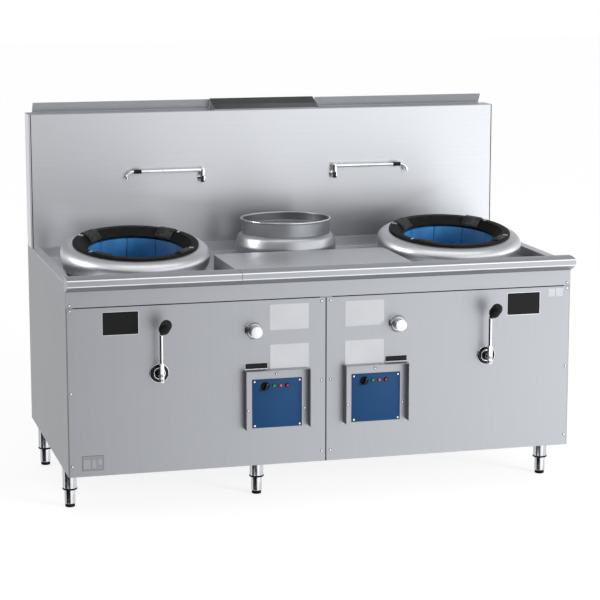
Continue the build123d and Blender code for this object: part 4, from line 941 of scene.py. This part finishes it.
def control_box(side, name):
    """Blue plate with its selector, two lamps and reset button, and the guard's screws."""
    left = side * GUARD_X + PLATE_SHIFT - PLATE_WIDTH / 2
    right = left + PLATE_WIDTH
    panel = box_mesh((left, PLATE_FACE, PLATE_LOW), (right, FRONT - 1.5, PLATE_HIGH), 0.6)
    panel = piece(f"control_panel_{name}", panel, blue_paint, "cabinet")
    screws(f"control_panel_screws_{name}", [
        (x, PLATE_FACE, z) for x in (left + PLATE_SCREW, right - PLATE_SCREW)
        for z in (PLATE_LOW + PLATE_SCREW, PLATE_HIGH - PLATE_SCREW)])
    middle = side * GUARD_X
    guard_top = span(f"control_housing_{name}")[1].z
    screws(f"guard_screws_{name}", [(x, FRONT - 1.5, z) for x, z in (
        (middle, (PLATE_HIGH + guard_top) / 2 - 1), (middle - 99, GUARD_SCREW_Z), (middle + 102, GUARD_SCREW_Z))])
    for number, look in enumerate((lamp_green, lamp_pink)):
        bezel = ring_mesh([(5.2, 0), (7.4, 0), (7.4, 1, 0.4), (6.2, 1.6, 0.4), (5.2, 1.2)], 40)
        glass = lathe_mesh([(0, 0), (5.9, 0), (5.9, 2.2, 1), (4, 3.9, 1.6), (0, 4)], 40)
        lamp = piece(f"lamp_{name}_{number}", join_meshes([(bezel, black_gloss), (glass, look)]), look,
                     "cabinet", facing_front(left + LAMP_X + LAMP_STEP * number, PLATE_FACE, KNOB_ROW))
        if side < 0 and number == 0:
            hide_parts("indicator_lamps")
    place = facing_front(left + LAMP_X + LAMP_STEP * 2, PLATE_FACE, KNOB_ROW)
    cap = lathe_mesh([(0, -7), (5, -7), (5, 3.6, 1), (3.8, 5.8, 1.2), (0, 6)], 40)
    cap = piece(f"reset_cap_{name}", cap, lamp_red, f"reset_button_{name}", place)
    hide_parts(f"reset_button_{name}")
    collar = ring_mesh([(5.3, 0), (7.6, 0), (7.6, 1.2, 0.5), (6, 2, 0.5), (5.3, 1.6)], 40)
    piece(f"reset_collar_{name}", collar, black_gloss, "cabinet", place)

    skirt = lathe_mesh([(0, 0.3), (15, 0.3), (15, 2.4, 0.8), (13.2, 5.8, 1.6), (0, 6.2)], 64)
    grip = box_mesh((-4, -14.2, 5), (4, 14.2, 17), 1.6)
    mark = box_mesh((-0.5, 7, 16.7), (0.5, 12.5, 17.1), 0.15)
    shaft = lathe_mesh([(0, -22), (3, -22), (3, 1), (0, 1)], 24)
    parts = [(skirt, black), (grip, black_gloss, SELECTOR_LEAN), (mark, plate_metal, SELECTOR_LEAN),
             (shaft, bright_dark)]
    knob = piece(f"selector_knob_{name}", join_meshes(parts), black, f"selector_{name}",
                 facing_front(left + SELECTOR_X, PLATE_FACE, KNOB_ROW))
    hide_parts(f"selector_{name}")
    return panel


panels = [control_box(side, name) for name, side in SIDES]
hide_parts("control_plates")


# ---- plates and labels, all of them blank

LABEL = 0.25  # thickness


def rounded_plate(name, x, z, thickness, radius, look, inset=0.0, face=None):
    """Thin plate with round corners, its Z counted from the panels' lower edge; it may carry an inset field."""
    def sheet(grow, near, far):
        (left, right), (low, high) = ((x[0] + grow, x[1] - grow), (UNDER + z[0] + grow, UNDER + z[1] - grow))
        corners = [(left, low, radius), (right, low, radius), (right, high, radius), (left, high, radius)]
        return closed_mesh(slab(rounded(corners, closed=True), FRONT - near, FRONT - far))

    parts = [(sheet(0.0, thickness, -0.2), look)]
    if inset:
        parts.append((sheet(inset, thickness + 0.05, thickness - 0.1), face))
    piece(name, join_meshes(parts), look, "cabinet")


for name, x in (("left", (-199, -61)), ("right", (69, 209))):
    rounded_plate(f"label_upper_{name}", x, (472, 561), LABEL, 3.0, label_white)
    rounded_plate(f"label_lower_{name}", x, (332, 422), LABEL, 3.0, label_white)
for name, x in (("left", (-288, -207)), ("right", (213, 294))):
    rounded_plate(f"label_small_{name}", x, (333, 361), LABEL, 1.5, label_white)
    rounded_plate(f"label_band_{name}", (x[0] + 1.5, x[1] - 1.5), (341, 359.5), 0.3, 1.0, label_black)
for name, x in (("left", (-778, -654)), ("right", (662, 786))):
    rounded_plate(f"notice_plate_{name}", x, (482, 562), 0.9, 1.2, bright, 1.1, plate_black)
for number, x in enumerate(((817, 843), (846, 872))):
    rounded_plate(f"label_tiny_{number}", x, (542, 570), LABEL, 1.5, label_white)
rounded_plate("type_plate", (-854, -780), (20, 72), 0.7, 1.2, plate_rim, 1.3, plate_metal)
for number, (x, z) in enumerate((
        ((-850, -824), (26, 60)), ((-821, -804), (26, 60)), ((-800, -784), (38, 60)), ((-800, -784), (27, 33)))):
    rounded_plate(f"type_plate_field_{number}", x, z, 0.85, 0.6, plate_rim, 0.7, plate_field)

# Screws down the panels' outer and inner edges
screws("panel_screws", [
    (sign * x, FRONT, UNDER + z) for sign in (-1, 1)
    for x, heights in ((887.0, (37.0, 288.5, 570.0, 589.5)), (16.0, (37.0, 288.5, 565.5))) for z in heights])


# ---- legs and feet

PLATE_DROP = 3.0  # thickness of the plate on a leg
STEM = 59.0  # foot's stem inside its leg


def leg(column, row):
    """Tube with its top plate, black collar and adjustable foot."""
    low, high = span(f"foot_{row}_{column}")
    place = at((low.x + high.x) / 2, (low.y + high.y) / 2, 0)
    end = LEG_TOP - PLATE_DROP
    tube = ring_mesh([(23.5, COLLAR_TOP), (25, COLLAR_TOP, 0.5), (25, end), (23.5, end)], 56)
    plate = box_mesh((-28, -28, end), (28, 28, LEG_TOP), 0.8)
    tube = piece(f"leg_{row}_{column}", join_meshes([(tube, bright_leg), (plate, bright_leg)]), bright_leg,
                 "cabinet", place)
    collar = ring_mesh([(6.3, COLLAR_LOW), (24.5, COLLAR_LOW, 0.8), (26, COLLAR_LOW + 1.4, 0.8),
        (26, COLLAR_TOP, 0.6), (6.3, COLLAR_TOP)], 56)
    collar = piece(f"collar_{row}_{column}", collar, rubber, "cabinet", place)
    top = COLLAR_LOW - 0.3
    body = lathe_mesh([(0, 12), (17.5, 12, 1), (19, 13.6, 1), (19, top - 1.4, 1), (17.6, top, 0.6), (6, top),
        (6, top + STEM), (5, top + STEM + 1), (0, top + STEM + 1)], 48)
    sole = lathe_mesh([(0, 0), (15.6, 0, 1), (17, 1.5, 1), (17, 12), (0, 12)], 48)
    foot = piece(f"foot_{row}_{column}_dressed", join_meshes([(body, bright_leg), (sole, rubber)]),
                 bright_leg, f"foot_{row}_{column}", place)
    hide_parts(f"foot_{row}_{column}")
    return tube, collar


legs = [leg(column, row) for column in ("left", "middle", "right") for row in ("front", "rear")]
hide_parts("leg_tubes")
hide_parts("leg_collars")


# ---- stage, lights, camera

SURROUNDINGS = 0.55  # white surroundings as a light, beside 1 as they are seen
FLOOR_TONE = 0.38
FLOOR_GLOW = 0.78  # lifts the floor to white where it is seen


def seen_rays(nodes, links):
    """1 for rays from the camera or through a mirroring or clear surface, 0 for all others."""
    path = nodes.new("ShaderNodeLightPath")
    seen = path.outputs["Is Camera Ray"]
    for kind in ("Is Glossy Ray", "Is Transmission Ray"):
        either = nodes.new("ShaderNodeMath")
        either.operation = "MAXIMUM"
        links.new(seen, either.inputs[0])
        links.new(path.outputs[kind], either.inputs[1])
        seen = either.outputs[0]
    return seen


def bare_material(name):
    """Material, nodes, links and output socket of a node tree with nothing else in it."""
    material = bpy.data.materials.new(name)
    material.use_nodes = True
    nodes, links = material.node_tree.nodes, material.node_tree.links
    nodes.clear()
    return material, nodes, links, nodes.new("ShaderNodeOutputMaterial").inputs["Surface"]


def studio():
    """White surroundings and a pale floor, both brighter to the eye than as lights."""
    world = bpy.data.worlds.new("studio")
    bpy.context.scene.world = world
    world.use_nodes = True
    nodes, links = world.node_tree.nodes, world.node_tree.links
    strength = Look.set(nodes.new("ShaderNodeMapRange"), To_Min=SURROUNDINGS, To_Max=1.0)
    links.new(seen_rays(nodes, links), strength.inputs["Value"])
    background = Look.set(nodes["Background"], Color=(1, 1, 1, 1))
    links.new(strength.outputs["Result"], background.inputs["Strength"])

    bm = bmesh.new()
    bmesh.ops.create_grid(bm, x_segments=1, y_segments=1, size=30.0)
    floor = linked("floor", closed_mesh(bm))
    floor.location.z = -0.0005
    surface, nodes, links, output = bare_material("floor_pale")
    diffuse = Look.set(nodes.new("ShaderNodeBsdfDiffuse"), Color=(FLOOR_TONE, FLOOR_TONE, FLOOR_TONE, 1))
    glow = Look.set(nodes.new("ShaderNodeEmission"), Color=(1, 1, 1, 1))
    lift = nodes.new("ShaderNodeMath")
    lift.operation = "MULTIPLY"
    lift.inputs[1].default_value = FLOOR_GLOW
    links.new(seen_rays(nodes, links), lift.inputs[0])
    links.new(lift.outputs[0], glow.inputs["Strength"])
    add = nodes.new("ShaderNodeAddShader")
    links.new(diffuse.outputs[0], add.inputs[0])
    links.new(glow.outputs[0], add.inputs[1])
    links.new(add.outputs[0], output)
    floor.data.materials.append(surface)
    floor.visible_glossy = False


def softbox(name, place, target, size, power):
    """Square area lamp aimed at a point."""
    lamp = bpy.data.lights.new(name, "AREA")
    lamp.shape = "RECTANGLE"
    lamp.size, lamp.size_y = size
    lamp.energy = power
    obj = linked(name, lamp)
    obj.visible_glossy = False
    aim = Vector(target) - Vector(place)
    obj.matrix_world = Matrix.Translation(place) @ aim.to_track_quat("-Z", "Y").to_matrix().to_4x4()


def card(name, corners, tone):
    """Flat card that only reflections see, as a studio's black and white cards."""
    bm = bmesh.new()
    bm.faces.new([bm.verts.new(corner) for corner in corners])
    material, nodes, links, output = bare_material(name)
    glow = Look.set(nodes.new("ShaderNodeEmission"), Color=(*tone, 1))
    links.new(glow.outputs[0], output)
    obj = linked(name, smooth_mesh(bm, looks=[material]))
    obj.visible_camera = obj.visible_diffuse = obj.visible_shadow = obj.visible_transmission = False


def wall_card(name, start, end, low, high, tone):
    """Upright card between two plan points (metres)."""
    card(name, [(*start, low), (*end, low), (*end, high), (*start, high)], tone)


def flat_card(name, x, y, z, tone):
    """Level card between two X and two Y (metres)."""
    card(name, [(x[0], y[0], z), (x[1], y[0], z), (x[1], y[1], z), (x[0], y[1], z)], tone)


# Camera that the photograph was solved for (metres, degrees, millimetres)
CAMERA_PLACE = (-1.8943, FRONT * MM - 6.6742, 1.9565)
CAMERA_YAW = 15.104
CAMERA_PITCH = 10.123
CAMERA_LENS = 123.12
CAMERA_SENSOR = 36.0


def photographer():
    camera = bpy.data.cameras.new("camera")
    camera.lens = CAMERA_LENS
    camera.sensor_width = CAMERA_SENSOR
    obj = linked("camera", camera)
    obj.location = CAMERA_PLACE
    obj.rotation_euler = (math.radians(90 - CAMERA_PITCH), 0, -math.radians(CAMERA_YAW))
    bpy.context.scene.camera = obj


# Cards by their plan points, heights and tone
DARK = (0.012, 0.012, 0.013)
CARD_Y = -8.0  # cards in front of the range
CARD_X = -8.0  # cards on its left

studio()
wall_card("flag_left", (-0.8, CARD_Y), (-9.0, CARD_Y), -4.5, 4.5, DARK)
wall_card("flag_far_left", (CARD_X, -9.0), (CARD_X, 0.0), -4.5, 4.5, DARK)
for start, end, tone in ((-0.8, 0.9, 1.0), (0.9, 2.0, 1.3), (2.0, 3.0, 1.6), (3.0, 5.5, 1.9)):
    wall_card(f"front_{end}", (start, CARD_Y), (end, CARD_Y), -4.5, 5.5, (tone, tone * 1.005, tone * 1.02))
wall_card("bounce_left", (CARD_X, 0.3), (CARD_X, 4.5), -1.5, 2.2, (0.7, 0.71, 0.72))
wall_card("bounce_high_left", (CARD_X, -0.5), (CARD_X, 3.0), 2.3, 8.0, (9.0, 9.0, 9.05))
wall_card("grey_left", (CARD_X, 4.5), (CARD_X, 14.0), -4.5, 4.5, (0.6, 0.61, 0.63))
wall_card("flag_back_left", (-6.0, 5.0), (0.5, 5.0), 1.6, 6.0, (0.32, 0.32, 0.33))
wall_card("flag_back_right", (0.5, 5.0), (7.0, 5.0), 1.6, 6.0, (0.72, 0.72, 0.73))
flat_card("ceiling", (-6.0, 6.0), (-1.6, 5.0), 4.5, (0.45, 0.45, 0.46))
flat_card("bounce_top", (-2.0, 3.0), (-1.5, -0.3), 4.2, (2.0, 2.0, 2.0))
wall_card("bounce_right", (1.5, -4.6), (4.2, -1.2), 0.9, 2.6, (1.7, 1.72, 1.75))
wall_card("key_right", (2.27, -2.8), (3.13, -1.7), -0.75, 0.3, (2.5, 2.52, 2.55))
wall_card("bounce_far_right", (3.9, -1.3), (4.6, 0.8), -0.4, 2.0, (2.6, 2.6, 2.65))
softbox("key", (4.2, -5.4, 1.6), (0.2, 0.0, 0.8), (2.6, 2.0), 320)
photographer()
bpy.context.scene.view_settings.view_transform = "Standard"
